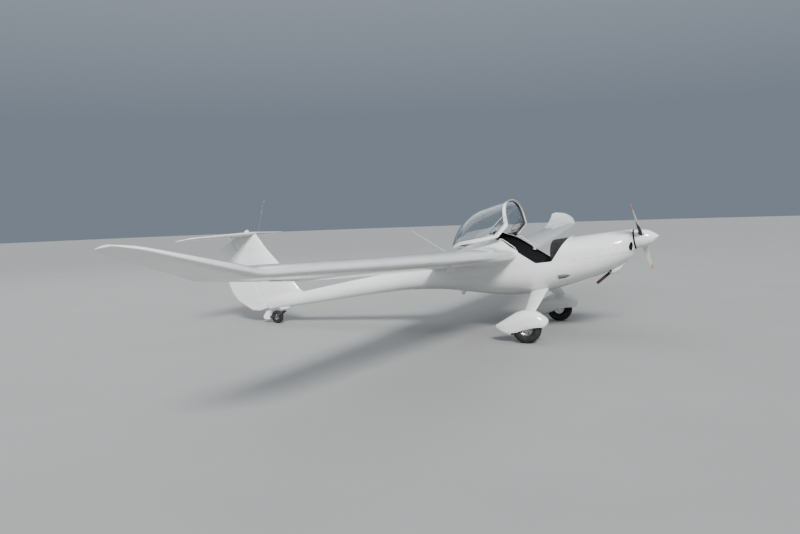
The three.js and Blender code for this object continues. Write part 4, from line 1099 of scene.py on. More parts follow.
for side in (-1, 1):
    word = "right" if side > 0 else "left"
    whole = loft("wing_blank", wing_lattice(side))
    skin = Smooth(whole)
    flap = whole.copy()
    flap.data = whole.data.copy()
    scene.collection.objects.link(flap)
    room = aileron_bay(side, AIL_0, AIL_1, -1)
    join_solid(room, nose_loft("nose", [nose_row(AIL_0, side), nose_row(AIL_1, side)], NOSE_ROOM))
    cut(whole, room)
    cut(whole, grown, keep=True)
    # airbrake lid seams on the upper skin
    lids = []
    for b0, b1, x0, x1 in ((2150, 3250, 0.485, 0.53),):
        corners = [(b0, x0), (b1, x0), (b1, x1), (b0, x1), (b0, x0)]
        pts = []
        for (ba, xa), (bb, xb) in zip(corners, corners[1:]):
            k = 14 if abs(ba - bb) > 100 else 2
            for t in np.linspace(0, 1, k, endpoint=False):
                b, x = ba + t * (bb - ba), xa + t * (xb - xa)
                s, h = wing_surface(b, x)
                pts.append(P(s, side * b, h))
        pts.append(pts[0])
        lids += seam("lid_seam", pts, 1.1, (0, 0, 1), 2.2)
    for c in lids:
        boolean(whole, c, "DIFFERENCE")
    paint(whole, WHITE_TOP)
    lend(whole, skin)
    place(whole, slot="body_white", stands_for=("wing_" + word,), smooth=False)
    keepbay = aileron_bay(side, AIL_0 + AIL_END, AIL_1 - AIL_END, 0)
    join_solid(keepbay, nose_loft("nose", [nose_row(AIL_0 + AIL_END, side), nose_row(AIL_1 - AIL_END, side)], -NOSE_INSET))
    common(flap, keepbay)
    paint(flap, WHITE_TOP)
    lend(flap, skin)
    place(flap, "aileron_" + word, "body_white", ("aileron_" + word,), smooth=False)

# ------------------------------------------------------------------ fin, rudder, tailplane, elevator
FIN = table(("h", "sLE", "sTE", "tc"), [
    (-300, 4990, 6340, 0.066), (-200, 5080, 6340, 0.074), (-60, 5190, 6345, 0.090), (80, 5274, 6432, 0.100),
    (420, 5507, 6520, 0.115), (700, 5710, 6588, 0.115), (944, 5850, 6616, 0.115)])


def lin(tab, x, key, at):
    return float(np.interp(x, [r[at] for r in tab], [r[key] for r in tab]))


def sym_half(x, c, tc):
    x = np.clip(x, 0, 1)
    return 5 * tc * c * (0.2969 * np.sqrt(x) - 0.126 * x - 0.3516 * x * x + 0.2843 * x ** 3 - 0.1015 * x ** 4) + 0.9


def sym_ring(place_at, sLE, sTE, tc, n=36):
    x = 0.5 * (1 + np.cos(np.pi * np.arange(n + 1) / n))
    c = sTE - sLE
    t = sym_half(x, c, tc)
    up = [place_at(sLE + xi * c, ti) for xi, ti in zip(x, t)]
    low = [place_at(sLE + xi * c, -ti) for xi, ti in zip(x[::-1][1:], t[::-1][1:])]
    return up + low


def fin_rings(hs):
    out = []
    for h in hs:
        v = {k: lin(FIN, h, k, "h") for k in ("sLE", "sTE", "tc")}
        out.append(sym_ring(lambda s, t: P(s, t, h), v["sLE"], v["sTE"], v["tc"]))
    return out


FIN_H = [-300, -200, -130, -60, -10, 35, 80, 150, 220, 290, 360, 420, 490, 560, 630, 700, 760, 820, 880, 944]
H_LOW, H_TOP = (5842, -200), (6310, 912)


def hinge_s(h):
    return H_LOW[0] + (h - H_LOW[1]) / (H_TOP[1] - H_LOW[1]) * (H_TOP[0] - H_LOW[0])


def behind_hinge(front, top, low):
    return slab("behind", [(hinge_s(low) + front, low), (7000, low), (7000, top), (hinge_s(top) + front, top)], -200, 200)


def rudder_nose(grow):
    rows = []
    for r in [dict(FIN[0], h=-400)] + FIN:
        c = r["sTE"] - r["sLE"]
        s = hinge_s(max(r["h"], FIN[0]["h"]))
        rows.append((P(hinge_s(r["h"]), 0, r["h"]), float(sym_half((s - r["sLE"]) / c, c, r["tc"]))))
    return nose_loft("rudder_nose", rows, grow)


def in_gap(c, half, limit):
    """1 for faces that lie deeper under the skin than the limit: these get the black painted shade of the hinge gaps.
    """
    return np.where(half > limit, 1, 0)


def fin_depth(c):
    out = []
    for x, s, h in c:
        v = {k: lin(FIN, h, k, "h") for k in ("sLE", "sTE", "tc")}
        ch = v["sTE"] - v["sLE"]
        out.append(float(sym_half((s - v["sLE"]) / ch, ch, v["tc"])) - abs(x))
    return np.array(out)


def stab_depth(c):
    out = []
    for x, s, h in c:
        v = {k: lin(STAB, abs(x), k, "b") for k in ("sLE", "sTE", "tc")}
        ch = v["sTE"] - v["sLE"]
        out.append(float(sym_half((s - v["sLE"]) / ch, ch, v["tc"])) - abs(h - TAIL_H))
    return np.array(out)


TAIL_H = 944
STAB = table(("b", "sLE", "sTE", "tc"), [(0, 5838, 6500, 0.105), (900, 5986, 6436, 0.105), (1215, 6062, 6410, 0.10), (1300, 6150, 6330, 0.07)])
STAB_B = [0, 225, 450, 675, 900, 1000, 1100, 1215, 1236, 1258, 1280, 1292, 1300]


def stab(grow, name="stab"):
    rings = []
    for b in [-x for x in STAB_B[::-1]] + STAB_B[1:]:
        v = {k: lin(STAB, abs(b), k, "b") for k in ("sLE", "sTE", "tc")}
        rings.append(sym_ring(lambda s, t: P(s, b, TAIL_H + t + (grow if t > 0 else -grow)), v["sLE"] - grow, v["sTE"] + grow, v["tc"]))
    return loft(name, rings)


ELEV_S, ELEV_END = 6262, 1205


def elev_nose(end, grow):
    rows = []
    for b in (-end, -900, 0, 900, end):
        v = {k: lin(STAB, abs(b), k, "b") for k in ("sLE", "sTE", "tc")}
        c = v["sTE"] - v["sLE"]
        rows.append((P(ELEV_S, b, TAIL_H), float(sym_half((ELEV_S - v["sLE"]) / c, c, v["tc"]))))
    return nose_loft("elev_nose", rows, grow)


room = behind_hinge(-1, 1200, -600)
join_solid(room, rudder_nose(NOSE_ROOM))
rudder = loft("rudder", fin_rings(FIN_H))
fin_skin = Smooth(rudder)
fin = loft("fin", fin_rings(FIN_H[1:]))
cut(fin, room, keep=True)
cut(fin, grown, keep=True)
cut(fin, stab(0.4), box3("under_elevator", 6216, 7000, -200, 200, 902, 1200))
# the fin's faces in the rudder's gap are painted black: painted shade in the hinge gap
tint(fin, [WHITE, SEAL_AND_GAP_SHADE], lambda c, n: in_gap(c, np.where((c[:, 1] > 5700) & (np.abs(n[:, 2]) < 0.8), fin_depth(c), 0), 1.5))
lend(fin, fin_skin)
place(fin, stands_for=("vertical_fin",), smooth=False)


def boom_gap(s, b, h):
    """How far a point lies outside the boom."""
    tp, bt, w, hm, nu, nl = hull_row(s)
    n, span = (nu, tp - hm) if h >= hm else (nl, hm - bt)
    q = max(((abs(b) / w) ** n + (abs(h - hm) / span) ** n) ** (1 / n), 1e-6)
    r = math.hypot(b, h - hm)
    return r - r / q


def fin_gap(s, b, h):
    """How far a point lies outside the fin."""
    v = {k: lin(FIN, h, k, "h") for k in ("sLE", "sTE", "tc")}
    ch = v["sTE"] - v["sLE"]
    ahead = (v["sLE"] + 10 - s) * 0.83
    if ahead > 0:
        return math.hypot(ahead, b) - 8
    return abs(b) - float(sym_half((s - v["sLE"]) / ch, ch, v["tc"]))


def blended(s, b, h, k):
    p, q = boom_gap(s, b, h), fin_gap(s, b, h)
    w = max(k - abs(p - q), 0) / k
    return min(p, q) - w * w * k / 4


def fillet_ring(s, k=58.0, inset=0.5, n=34):
    tp, bt, w, hm, nu, nl = hull_row(s)
    lo, hi = tp, tp + 78
    if blended(s, 0, hi, k) > -inset:
        for _ in range(30):
            m = (lo + hi) / 2
            lo, hi = (m, hi) if blended(s, 0, m, k) < -inset else (lo, m)
    top = hi
    base = hm + 4
    half = []
    for h in base + (top - base) * np.sin(np.linspace(0, math.pi / 2, n)):
        a, z = 0.0, w + 4
        for _ in range(26):
            m = (a + z) / 2
            a, z = (m, z) if blended(s, m, h, k) < -inset else (a, m)
        half.append((max(a, 0.6), h))
    return [P(s, b, h) for b, h in half] + [P(s, -b, h) for b, h in half[::-1]]


root = loft("fin_fillet", [fillet_ring(s) for s in stations((5080, 5240, 20), (5240, 5838, 26))])
cut(root, room, keep=True)
paint(root, WHITE)
place(root, slot="body_white", angle=50)
cut(boom, room)
paint(boom, WHITE)
lend(boom, boom_skin)
place(boom, stands_for=("tail_boom",), smooth=False)

RUDDER_TOP, RUDDER_LOW = 884, -226
outline = [(hinge_s(RUDDER_LOW), RUDDER_LOW), (5960, -252), (6100, -232), (6331, -63), (6423, 4), (6479, 259), (6594, 668), (6606, 776),
           (hinge_s(870) + 6, 872), (hinge_s(870) - 40, RUDDER_TOP), (hinge_s(RUDDER_LOW) - 60, RUDDER_LOW)]
outline = rounded(outline, [0, 30, 45, 20, 40, 160, 120, 26, 10, 0, 0], 6, True)
common(rudder, slab("rudder_outline", outline, -200, 200))
keep = behind_hinge(0, 1200, -600)
join_solid(keep, rudder_nose(-NOSE_INSET))
common(rudder, keep)
# the rudder's nose faces deep in the gap are painted black: painted shade in the hinge gap
tint(rudder, [WHITE, SEAL_AND_GAP_SHADE], lambda c, n: in_gap(c, np.where((c[:, 1] < np.array([hinge_s(q) for q in c[:, 2]]) + 2) & (np.abs(n[:, 2]) < 0.8), fin_depth(c), 0), 9.0))
lend(rudder, fin_skin)
place(rudder, "rudder", stands_for=("rudder",), smooth=False)

tail = stab(0, "tailplane_blank")
tail_skin = Smooth(tail)
elev = tail.copy()
elev.data = tail.data.copy()
scene.collection.objects.link(elev)
cut(tail, box3("behind_elev", ELEV_S - 1, 6800, -ELEV_END - 6, ELEV_END + 6, TAIL_H - 90, TAIL_H + 90), elev_nose(ELEV_END + 6, NOSE_ROOM))
# the tailplane's faces in the elevator's gap are painted black: painted shade in the hinge gap
tint(tail, [WHITE_TOP, SEAL_AND_GAP_SHADE], lambda c, n: in_gap(c, np.where((np.abs(c[:, 0]) < ELEV_END + 7.5) & (c[:, 1] > 6200) & (np.abs(n[:, 0]) < 0.7), stab_depth(c), 0), 1.5))
lend(tail, tail_skin)
place(tail, stands_for=("tailplane",), smooth=False)
keep = box3("keep_elev", ELEV_S, 6800, -ELEV_END, ELEV_END, TAIL_H - 90, TAIL_H + 90)
join_solid(keep, elev_nose(ELEV_END, -NOSE_INSET))
common(elev, keep)
# the elevator's nose faces deep in the gap are painted black: painted shade in the hinge gap
tint(elev, [WHITE_TOP, SEAL_AND_GAP_SHADE], lambda c, n: in_gap(c, np.where((c[:, 1] < ELEV_S + 2) & (np.abs(n[:, 0]) < 0.7), stab_depth(c), 0), 6.0))
lend(elev, tail_skin)
place(elev, "elevator", stands_for=("elevator",), smooth=False)

# ------------------------------------------------------------------ main undercarriage
HUB_S, HUB_B, HUB_H, TYRE_R, RIM_R = 1579, 960, -857, 175, 88
LEG = table(("b", "h", "s0", "s1", "t"), [
    (300, -458, 1396, 1626, 41), (338, -470, 1400, 1622, 40), (470, -510, 1412, 1612, 38), (660, -574, 1428, 1602, 34),
    (830, -632, 1446, 1596, 30), (874, -660, 1462, 1596, 26), (884, -720, 1500, 1610, 20), (885, -800, 1530, 1628, 18), (885, -884, 1545, 1613, 18)])
SPAT = table(("s", "top", "bot", "w"), [
    (1306, -774, -800, 12), (1322, -750, -832, 46), (1362, -712, -866, 76), (1432, -660, -880, 94), (1510, -634, -884, 98),
    (1590, -628, -888, 98), (1670, -642, -898, 92), (1780, -686, -912, 76), (1880, -732, -872, 52), (1960, -768, -800, 16)])


def leg_rings(side, grow=0.0, first=0, n=48, fine=6):
    keys = ("b", "h", "s0", "s1", "t")
    rows = LEG[first:]
    pts = curve([[r[k] for k in keys] for r in rows], (len(rows) - 1) * fine + 1)
    rings = []
    for i, (b, h, s0, s1, t) in enumerate(pts):
        p, q = pts[max(0, i - 1)], pts[min(len(pts) - 1, i + 1)]
        dx, dz = q[0] - p[0], q[1] - p[1]
        l = math.hypot(dx, dz)
        nx, nz = -dz / l, dx / l
        ring = []
        for k in range(n):
            a = k / n * 2 * math.pi
            u, v = math.cos(a), math.sin(a)
            # blunt ahead, drawn out behind
            half = t / 2 * (v * (1 - 0.28 * u) if grow == 0 else v) + (math.copysign(grow, v) if v else 0)
            s = (s0 + s1) / 2 + u * ((s1 - s0) / 2 + grow)
            ring.append(P(s, side * (b + nx * half), h + nz * half))
        rings.append(ring)
    return rings


def spat_ring(s, side, t, n=64, lean=0.0):
    v = {k: column(SPAT, s, k) for k in ("top", "bot", "w")}
    top, bot, w = v["top"] - t, v["bot"] + t, max(4, v["w"] - t)
    mid = bot + 0.42 * (top - bot)
    a = np.arange(n) / n * 2 * math.pi
    c, d = np.cos(a), np.sin(a)
    e = np.where(d >= 0, 2 / 2.3, 2 / 3.2)
    span = np.where(d >= 0, top - mid, mid - bot)
    b = HUB_B + w * np.sign(c) * np.abs(c) ** e
    return np.stack([-side * b, np.full(n, float(s)), mid + span * np.sign(d) * np.abs(d) ** e], 1)


def wheel_profile_tyre():
    p = [(88.2, -38), (92, -43), (100, -48.5), (112, -53), (128, -55), (142, -53.8), (153, -50), (161, -44.5), (166, -40)]
    grooves = [(-33, 3), (-15, 3.4), (15, 3.4), (33, 3)]
    q = [(168.6, -37)]
    for z, d in grooves:
        q += [(q[-1][0] if z < 0 else 174.2, z - 2.6), (169.2, z - 1.6), (169.2, z + 1.6), (174.6 if abs(z) < 20 else 172.5, z + 2.6)]
    q += [(168.6, 37)]
    return p + q + [(r, -z) for r, z in p[::-1]] + [(90, 30), (90, -30), (88.2, -38)]


def lathe_x(name, profile, s, b, h, side=1, segs=96):
    return lathe(name, profile, P(s, b, h), np.array([-float(side), 0, 0]), segs)


def bolts(name, n, radius, s, b, h, side, r=4.5, height=5, phase=0.0):
    obs = []
    for i in range(n):
        a = phase + i / n * 2 * math.pi
        c = P(s + radius * math.cos(a), b, h + radius * math.sin(a))
        d = np.array([-float(side), 0, 0])
        o = lathe(name, [(0, 0), (r, 0), (r, height * 0.7), (r * 0.8, height), (0, height)], c, d, 6)
        obs.append(o)
    return obs


ROOM_IN, ROOM_OUT = 60.5, 70
ARCH = curve([np.array(q, float) for q in ((1762, -912), (1700, -888), (1630, -867), (1560, -855), (1500, -850), (1430, -850), (1352, -861))], 40)
ARCH = [(float(q[0]), float(q[1])) for q in ARCH] + [(1352, -1100), (1762, -1100)]
for side in (-1, 1):
    word = "right" if side > 0 else "left"
    leg = loft("leg", leg_rings(side))
    leg_src = Smooth(leg)
    cut(leg, bar("axle_hole", P(HUB_S, side * 870, HUB_H), P(HUB_S, side * 900, HUB_H), 12.5, segs=32))
    cut(leg, grown, keep=True)
    paint(leg, WHITE)
    lend(leg, leg_src, limit=50)
    place(leg, slot="body_white", stands_for=("gear_leg_" + word,), smooth=False)
    sp_st = stations((1306, 1322, 3), (1322, 1362, 6), (1362, 1880, 14), (1880, 1960, 8))
    spat = loft("spat", [spat_ring(s, side, 0) for s in sp_st])
    spat_src = Smooth(spat)
    in_b, out_b = HUB_B - ROOM_IN, HUB_B + ROOM_OUT
    cut(spat, bar("room", P(HUB_S, side * in_b, HUB_H), P(HUB_S, side * out_b, HUB_H), TYRE_R + 16, segs=96))
    cut(spat, box3("room2", HUB_S - TYRE_R - 16, HUB_S + TYRE_R + 16, min(side * in_b, side * out_b), max(side * in_b, side * out_b), -1100, HUB_H))
    cut(spat, bar("axle_room", P(HUB_S, side * (HUB_B - 110), HUB_H), P(HUB_S, side * (HUB_B - 50), HUB_H), 17, segs=40))
    cut(spat, box3("caliper_room", HUB_S - 99, HUB_S - 20, min(side * (HUB_B - 72), side * (HUB_B - 50)), max(side * (HUB_B - 72), side * (HUB_B - 50)), HUB_H + 3, HUB_H + 92))
    cut(spat, slab("arch", ARCH, min(side * (HUB_B - 130), side * (HUB_B + 130)), max(side * (HUB_B - 130), side * (HUB_B + 130))))
    cut(spat, loft("leg_grown", leg_rings(side, 1.6, 3)))
    # keep the largest body
    bm = bmesh.new()
    bm.from_mesh(spat.data)
    seen, groups = set(), []
    for f in bm.faces:
        if f in seen:
            continue
        stack, grp = [f], []
        seen.add(f)
        while stack:
            g = stack.pop()
            grp.append(g)
            for e in g.edges:
                for k in e.link_faces:
                    if k not in seen:
                        seen.add(k)
                        stack.append(k)
        groups.append(grp)
    groups.sort(key=lambda g: -sum(f.calc_area() for f in g))
    bmesh.ops.delete(bm, geom=[f for g in groups[1:] for f in g], context="FACES")
    bm.to_mesh(spat.data)
    bm.free()

    # the faces round the wheel's room are painted near-black: painted shade inside the spat
    def spat_faces(c, n, side=side):
        out = np.zeros(len(c), int)
        rr = np.hypot(c[:, 1] - HUB_S, c[:, 2] - HUB_H)
        b = -side * c[:, 0]
        within = (b > HUB_B - ROOM_IN - 0.5) & (b < HUB_B + ROOM_OUT + 0.5)
        arch = (rr < TYRE_R + 17) & within
        straight = (np.abs(np.abs(c[:, 1] - HUB_S) - (TYRE_R + 16)) < 0.6) & (c[:, 2] < HUB_H) & within
        out[arch | straight] = 1
        return out
    tint(spat, [WHITE, SHADE_DARK], spat_faces)
    lend(spat, spat_src, limit=45)
    place(spat, slot="body_white", stands_for=("wheel_spat_" + word,), smooth=False)
    # the fairing's screws
    heads = []
    for q, h in ((1400, -828), (1572, -832), (1800, -868)):
        v = {k: column(SPAT, q, k) for k in ("top", "bot", "w")}
        mid = v["bot"] + 0.42 * (v["top"] - v["bot"])
        w = v["w"] * (1 - min(0.99, (mid - h) / (mid - v["bot"])) ** 3.2) ** (1 / 3.2)
        heads.append(lathe("head", [(0, -2), (4.6, -2), (4.6, 0.8), (3.4, 1.6), (0, 1.6)], P(q, side * (HUB_B + w), h), np.array([-float(side), 0, -0.2]), 16))
    h = merged("spat_screws_" + word, heads)
    paint(h, IRON)
    place(h, slot="bare_metal")

    body = "main_wheel_" + word
    tyre = lathe_x("tyre_" + word, wheel_profile_tyre(), HUB_S, side * HUB_B, HUB_H, side, 128)
    paint(tyre, TYRE)
    place(tyre, body, "rubber", ("main_tyre_" + word,), angle=40)
    rim = lathe_x("rim", [(13.5, -44), (36, -44), (39, -40), (42, -26), (50, -21), (66, -20), (76, -26), (82, -38), (86, -41), (87.5, -38), (87.5, 38), (86, 41), (82, 38), (76, 26), (66, 20), (50, 21), (42, 26), (39, 40), (36, 44), (13.5, 44), (13.5, -44)], HUB_S, side * HUB_B, HUB_H, side, 96)
    for i in range(6):
        a = i / 6 * 2 * math.pi + 0.3
        c = (HUB_S + 60 * math.cos(a), HUB_H + 60 * math.sin(a))
        cut(rim, bar("hole", P(c[0], side * (HUB_B - 60), c[1]), P(c[0], side * (HUB_B + 60), c[1]), 9, segs=24))
    paint(rim, ALU)
    extra = bolts("bolt", 6, 47, HUB_S, side * (HUB_B + 22), HUB_H, side, 4.2, 5.5) + bolts("bolt", 6, 47, HUB_S, side * (HUB_B - 22), HUB_H, -side, 4.2, 5.5)
    for e in extra:
        paint(e, STEEL)
    disc = lathe_x("disc", [(20, -54), (70, -54), (71, -53), (71, -50), (70, -49), (46, -49), (40, -45.5), (20, -45.5), (20, -54)], HUB_S, side * HUB_B, HUB_H, side, 72)
    paint(disc, STEEL)
    wheel = merged("wheel_rim_" + word, [rim, disc] + extra)
    place(wheel, body, "bare_metal", ("main_rim_" + word,), angle=30)
    axle = lathe_x("axle_" + word, [(0, -83), (11.4, -83), (12, -82), (12, 58), (11, 59), (9, 59), (9, 60.5), (0, 60.5)], HUB_S, side * HUB_B, HUB_H, side, 48)
    nut = lathe_x("nut", [(9.2, 52), (17, 52), (18, 53), (18, 59.5), (16, 61), (9.2, 61), (9.2, 52)], HUB_S, side * HUB_B, HUB_H, side, 6)
    paint(axle, STEEL)
    paint(nut, STEEL)
    a = merged("wheel_axle_set_" + word, [axle, nut])
    place(a, slot="bare_metal", stands_for=("wheel_axle_" + word,))
    # brake caliper
    cal = slab("caliper", rounded([(HUB_S - 92, HUB_H + 10), (HUB_S - 92, HUB_H + 62), (HUB_S - 44, HUB_H + 84), (HUB_S - 28, HUB_H + 52), (HUB_S - 50, HUB_H + 22)], 9, 4, True), side * (HUB_B - 66), side * (HUB_B - 58))
    bevel(cal, 2, 2)
    paint(cal, IRON)
    place(cal, slot="dark_metal")

# ------------------------------------------------------------------ tailwheel
TS, THT = 5690, -382
rows = table(("s", "w", "top", "bot"), [(5404, 8, -236, -258), (5444, 26, -236, -276), (5504, 34, -236, -292), (5564, 34, -236, -296), (5612, 28, -236, -288)])
mount = []
for s in stations((5404, 5444, 5), (5444, 5612, 8)):
    v = {k: column(rows, s, k) for k in ("w", "top", "bot")}
    a = np.arange(48) / 48 * 2 * math.pi
    mount.append(np.stack([-v["w"] * np.cos(a), np.full(48, float(s)), (v["top"] + v["bot"]) / 2 + (v["top"] - v["bot"]) / 2 * np.sin(a)], 1))
mount = loft("tailwheel_fairing", mount)
msrc = Smooth(mount)
cut(mount, grown, keep=True)
paint(mount, WHITE)
lend(mount, msrc, limit=50)
place(mount, slot="body_white", stands_for=("tailwheel_mount",), smooth=False)

fork = lathe("crown", [(0, 0), (26, 0), (29.5, 2), (30, 4), (30, 11), (28, 14), (0, 14)], P(5565, 0, -302), np.array([0, 0, -1.0]), 64)
parts = [box3("yoke", 5539, 5592, -34, 34, -318, -307)]
for side in (-1, 1):
    arm = rounded([(5539, -306), (5597, -306), (5712, -370), (5712, -394), (5676, -396), (5539, -318)], [6, 20, 14, 10, 10, 6], 5, True)
    parts.append(slab("arm", arm, side * 29, side * 35))
    parts.append(slab("strut", rounded([(5690, -370), (5806, -352), (5806, -384), (5690, -394)], [8, 4, 4, 8], 4, True), side * 29.01, side * 34.99))
parts.append(bar("tail_axle", P(TS, -39, THT), P(TS, 39, THT), 6, segs=32))
for side in (-1, 1):
    parts.append(lathe("tail_nut", [(0, 0), (9, 0), (9, 4), (7.5, 5), (0, 5)], P(TS, side * 34.5, THT), np.array([-float(side), 0, 0]), 6))
join_solid(fork, *parts)
# rounded guard behind the wheel
GUARD = rounded([(5796, -270), (5850, -270), (5905, -325), (5926, -352), (5912, -392), (5870, -404), (5808, -404), (5800, -382), (5799, -340)], [10, 26, 26, 26, 22, 22, 10, 4, 4], 6, True)
guard = slab("guard", GUARD, -33, 33)
bevel(guard, 9, 4, 50)
join_solid(fork, guard)


def fork_faces(c, n):
    guard_part = (c[:, 1] > 5794) & (np.abs(c[:, 0]) < 33.6)
    return np.where(guard_part, 0, np.where(np.abs(c[:, 0]) > 38.0, 2, 1))


tint(fork, [WHITE, FORK_GREY, STEEL], fork_faces)
place(fork, "tail_fork", "body_white", ("tailwheel_fork",), angle=40)
tprof = [(46.2, -15), (50, -19), (60, -22.3), (70, -23), (82, -21.5), (92, -17.5), (96, -15), (98, -11), (98.8, -8), (96.2, -7), (96.2, -5.4), (99.4, -4.6), (99.8, 0)]
tyre = lathe_x("tail_tyre_fine", tprof + [(r, -z) for r, z in tprof[::-1][1:]] + [(47.5, 12), (47.5, -12), (46.2, -15)], TS, 0, THT, 1, 96)
paint(tyre, TYRE)
place(tyre, "tail_wheel", "rubber", ("tail_tyre",), angle=40)
rim = lathe_x("tail_rim_fine", [(7.5, -19), (18, -19), (20, -17), (21, -10), (34, -9.5), (41, -14), (45, -15.5), (45.3, -13), (45.3, 13), (45, 15.5), (41, 14), (34, 9.5), (21, 10), (20, 17), (18, 19), (7.5, 19), (7.5, -19)], TS, 0, THT, 1, 72)
paint(rim, ALU)
extra = bolts("bolt", 5, 28, TS, 10, THT, 1, 3, 4) + bolts("bolt", 5, 28, TS, -10, THT, -1, 3, 4)
for e in extra:
    paint(e, STEEL)
w = merged("tail_rim_set", [rim] + extra)
place(w, "tail_wheel", "bare_metal", ("tail_rim",), angle=30)

# ------------------------------------------------------------------ propeller and spinner
PROP_S, SP_BASE, SP_R = 200, 283, 118
spin = math.radians(57)
SPINNER = table(("s", "r"), [(0, 0), (5, 8), (20, 22), (48, 46), (72, 65), (94, 80), (120, 91), (146, 99.5), (200, 111), (283, 118)])


def spinner_r(z):
    return column(SPINNER, z, "r") if z > 5 else 8 * math.sqrt(max(z, 0) / 5)


zz = [0, 0.4, 1.2, 2.4, 4] + [5 + 278 * (i / 46) ** 1.25 for i in range(47)]
sp = lathe("spinner_blank", [(float(spinner_r(z)), float(z)) for z in zz] + [(115, 283), (0, 283)], P(0, 0, 0), np.array([0, 1.0, 0]), 128)
sp_src = Smooth(sp)
BLADE = table(("r", "c", "t", "p"), [(60, 64, 44, 58), (122, 68, 34, 50), (200, 84, 24, 40), (320, 100, 18, 30), (460, 98, 14, 23), (600, 84, 10, 18.5), (720, 64, 7, 16), (780, 44, 5, 15), (800, 22, 3, 15)])


def blade_ring(r, k, grow=0.0, n=40):
    v = {q: column(BLADE, r, q, "r") for q in ("c", "t", "p")}
    c, t, pitch = v["c"] + grow, v["t"] + grow, math.radians(v["p"])
    d = np.array([-math.sin(spin), 0, math.cos(spin)]) * k
    turn = np.cross(d, np.array([0, -1.0, 0]))
    chord = -turn * math.cos(pitch) + np.array([0, -math.sin(pitch), 0])
    face = np.cross(d, chord)
    blend = min(1, max(0, (r - 110) / 110))
    ring = []
    for i in range(n):
        a = i / n * 2 * math.pi
        u, w = math.cos(a), math.sin(a)
        # round root, aerofoil outboard: blunt at the leading edge, thin behind
        x = (1 - u) / 2
        sect = (0.2969 * math.sqrt(x) - 0.126 * x - 0.3516 * x * x + 0.2843 * x ** 3 - 0.1036 * x ** 4) * 5 / 1.0
        foil_t = math.copysign(sect, w) if abs(w) > 1e-9 else 0
        h = (1 - blend) * w * t / 2 + blend * foil_t * t + blend * 0.0
        if blend > 0 and w < 0:
            h *= 1 - 0.45 * blend
        ring.append(P(PROP_S, 0, 0) + d * r + chord * (u * c / 2) + face * h)
    return ring


def hub_solid(grow):
    ax = np.array([-math.sin(spin), 0, math.cos(spin)])
    o = bar("hub", P(PROP_S, 0, 0) - ax * (72 + grow), P(PROP_S, 0, 0) + ax * (72 + grow), 36 + grow, segs=48)
    join_solid(o, bar("hub_shaft", P(PROP_S - 40 - grow, 0, 0), P(SP_BASE + 60, 0, 0), 46 + grow, segs=64))
    return o


cut(sp, lathe("spinner_room", [(0, 60), (56, 90), (92, 180), (110, 275), (0, 275), (0, 60)], P(0, 0, 0), np.array([0, 1.0, 0]), 64),
    bar("shaft_room", P(SP_BASE - 20, 0, 0), P(SP_BASE + 20, 0, 0), 46.6, segs=64))
for k in (1, -1):
    cut(sp, loft("slot", [blade_ring(r, k, 13) for r in (60, 90, 122, 160, 200)]))


# the spinner's inside and the walls of the blade slots are painted near-black: painted shade
def sp_faces(c, n):
    r = np.hypot(c[:, 0], c[:, 2])
    want = np.array([spinner_r(max(0, s)) for s in c[:, 1]])
    inner = r < want - 4.5
    rad = c[:, [0, 2]] / (r[:, None] + 1e-6)
    wall = (np.abs(n[:, 0] * rad[:, 0] + n[:, 2] * rad[:, 1]) < 0.45) & (c[:, 1] > 60)
    return np.where((inner | wall) & (c[:, 1] > 12), 1, 0)


tint(sp, [WHITE, SHADE_DARK], sp_faces)
lend(sp, sp_src, limit=45)
place(sp, "propeller", "body_white", ("spinner",), smooth=False)
# backplate edge, painted near-black as painted shade in the gap before the cowling, and its screws
plate = lathe("spinner_backplate", [(112, 280.6), (118.3, 280.8), (118.4, 281.8), (118.2, 282.8), (112, 282.9), (112, 280.6)], P(0, 0, 0), np.array([0, 1.0, 0]), 96)
heads = []
for i in range(12):
    a = i / 12 * 2 * math.pi + 0.13
    n = np.array([math.cos(a), -0.045, math.sin(a)])
    n /= np.linalg.norm(n)
    heads.append(lathe("head", [(0, -0.6), (3.2, -0.6), (3.2, 0.8), (2.4, 1.5), (0, 1.5)], np.array([116.6 * math.cos(a), 266, 116.6 * math.sin(a)]), n, 16))
for h in heads:
    paint(h, STEEL)
paint(plate, SHADE_DARK)
m = merged("spinner_plate_and_screws", [plate] + heads)
place(m, "propeller", "bare_metal")

BL_R = stations((60, 200, 10), (200, 720, 20), (720, 800, 5))
for i, k in enumerate((1, -1)):
    blade = loft("blade", [blade_ring(r, k) for r in BL_R])
    src = Smooth(blade)
    cut(blade, hub_solid(GAP))

    # orange tips; the aft-facing face near the root is painted dark grey as painted shade of the face turned from the
    # light
    def blade_faces(c, n, k=k):
        d = np.array([-math.sin(spin), 0, math.cos(spin)]) * k
        r = (c - P(PROP_S, 0, 0)) @ d
        return np.where(r > 700, 1, np.where((n[:, 1] > 0.12) & (r < 360), 2, 0))
    tint(blade, [BLADE_WHITE, ORANGE, BLADE_ROOT_SHADE], blade_faces)
    lend(blade, src, limit=60, angle=45)
    place(blade, "propeller", "body_white", ("propeller_blade_%d" % (i + 1),), smooth=False)
hub = hub_solid(0)
bevel(hub, 1.5, 2, 40)
paint(hub, ALU)
place(hub, "propeller", "dark_metal", ("propeller_hub",))

# ------------------------------------------------------------------ canopy, drawn closed, then swung open
BAND, POLE, OPEN = 48, (2170, -450), math.radians(43)
L_PIVOT, L_EYE, L_B = (1690.7, 81.3), (1481.5, -107.5), 470
open_up = Matrix.Translation((0, POLE[0], POLE[1])) @ Matrix.Rotation(-OPEN, 4, "X") @ Matrix.Translation((0, -POLE[0], -POLE[1]))


def swing(o):
    o.data.transform(open_up)
    o.data.update()
    return o


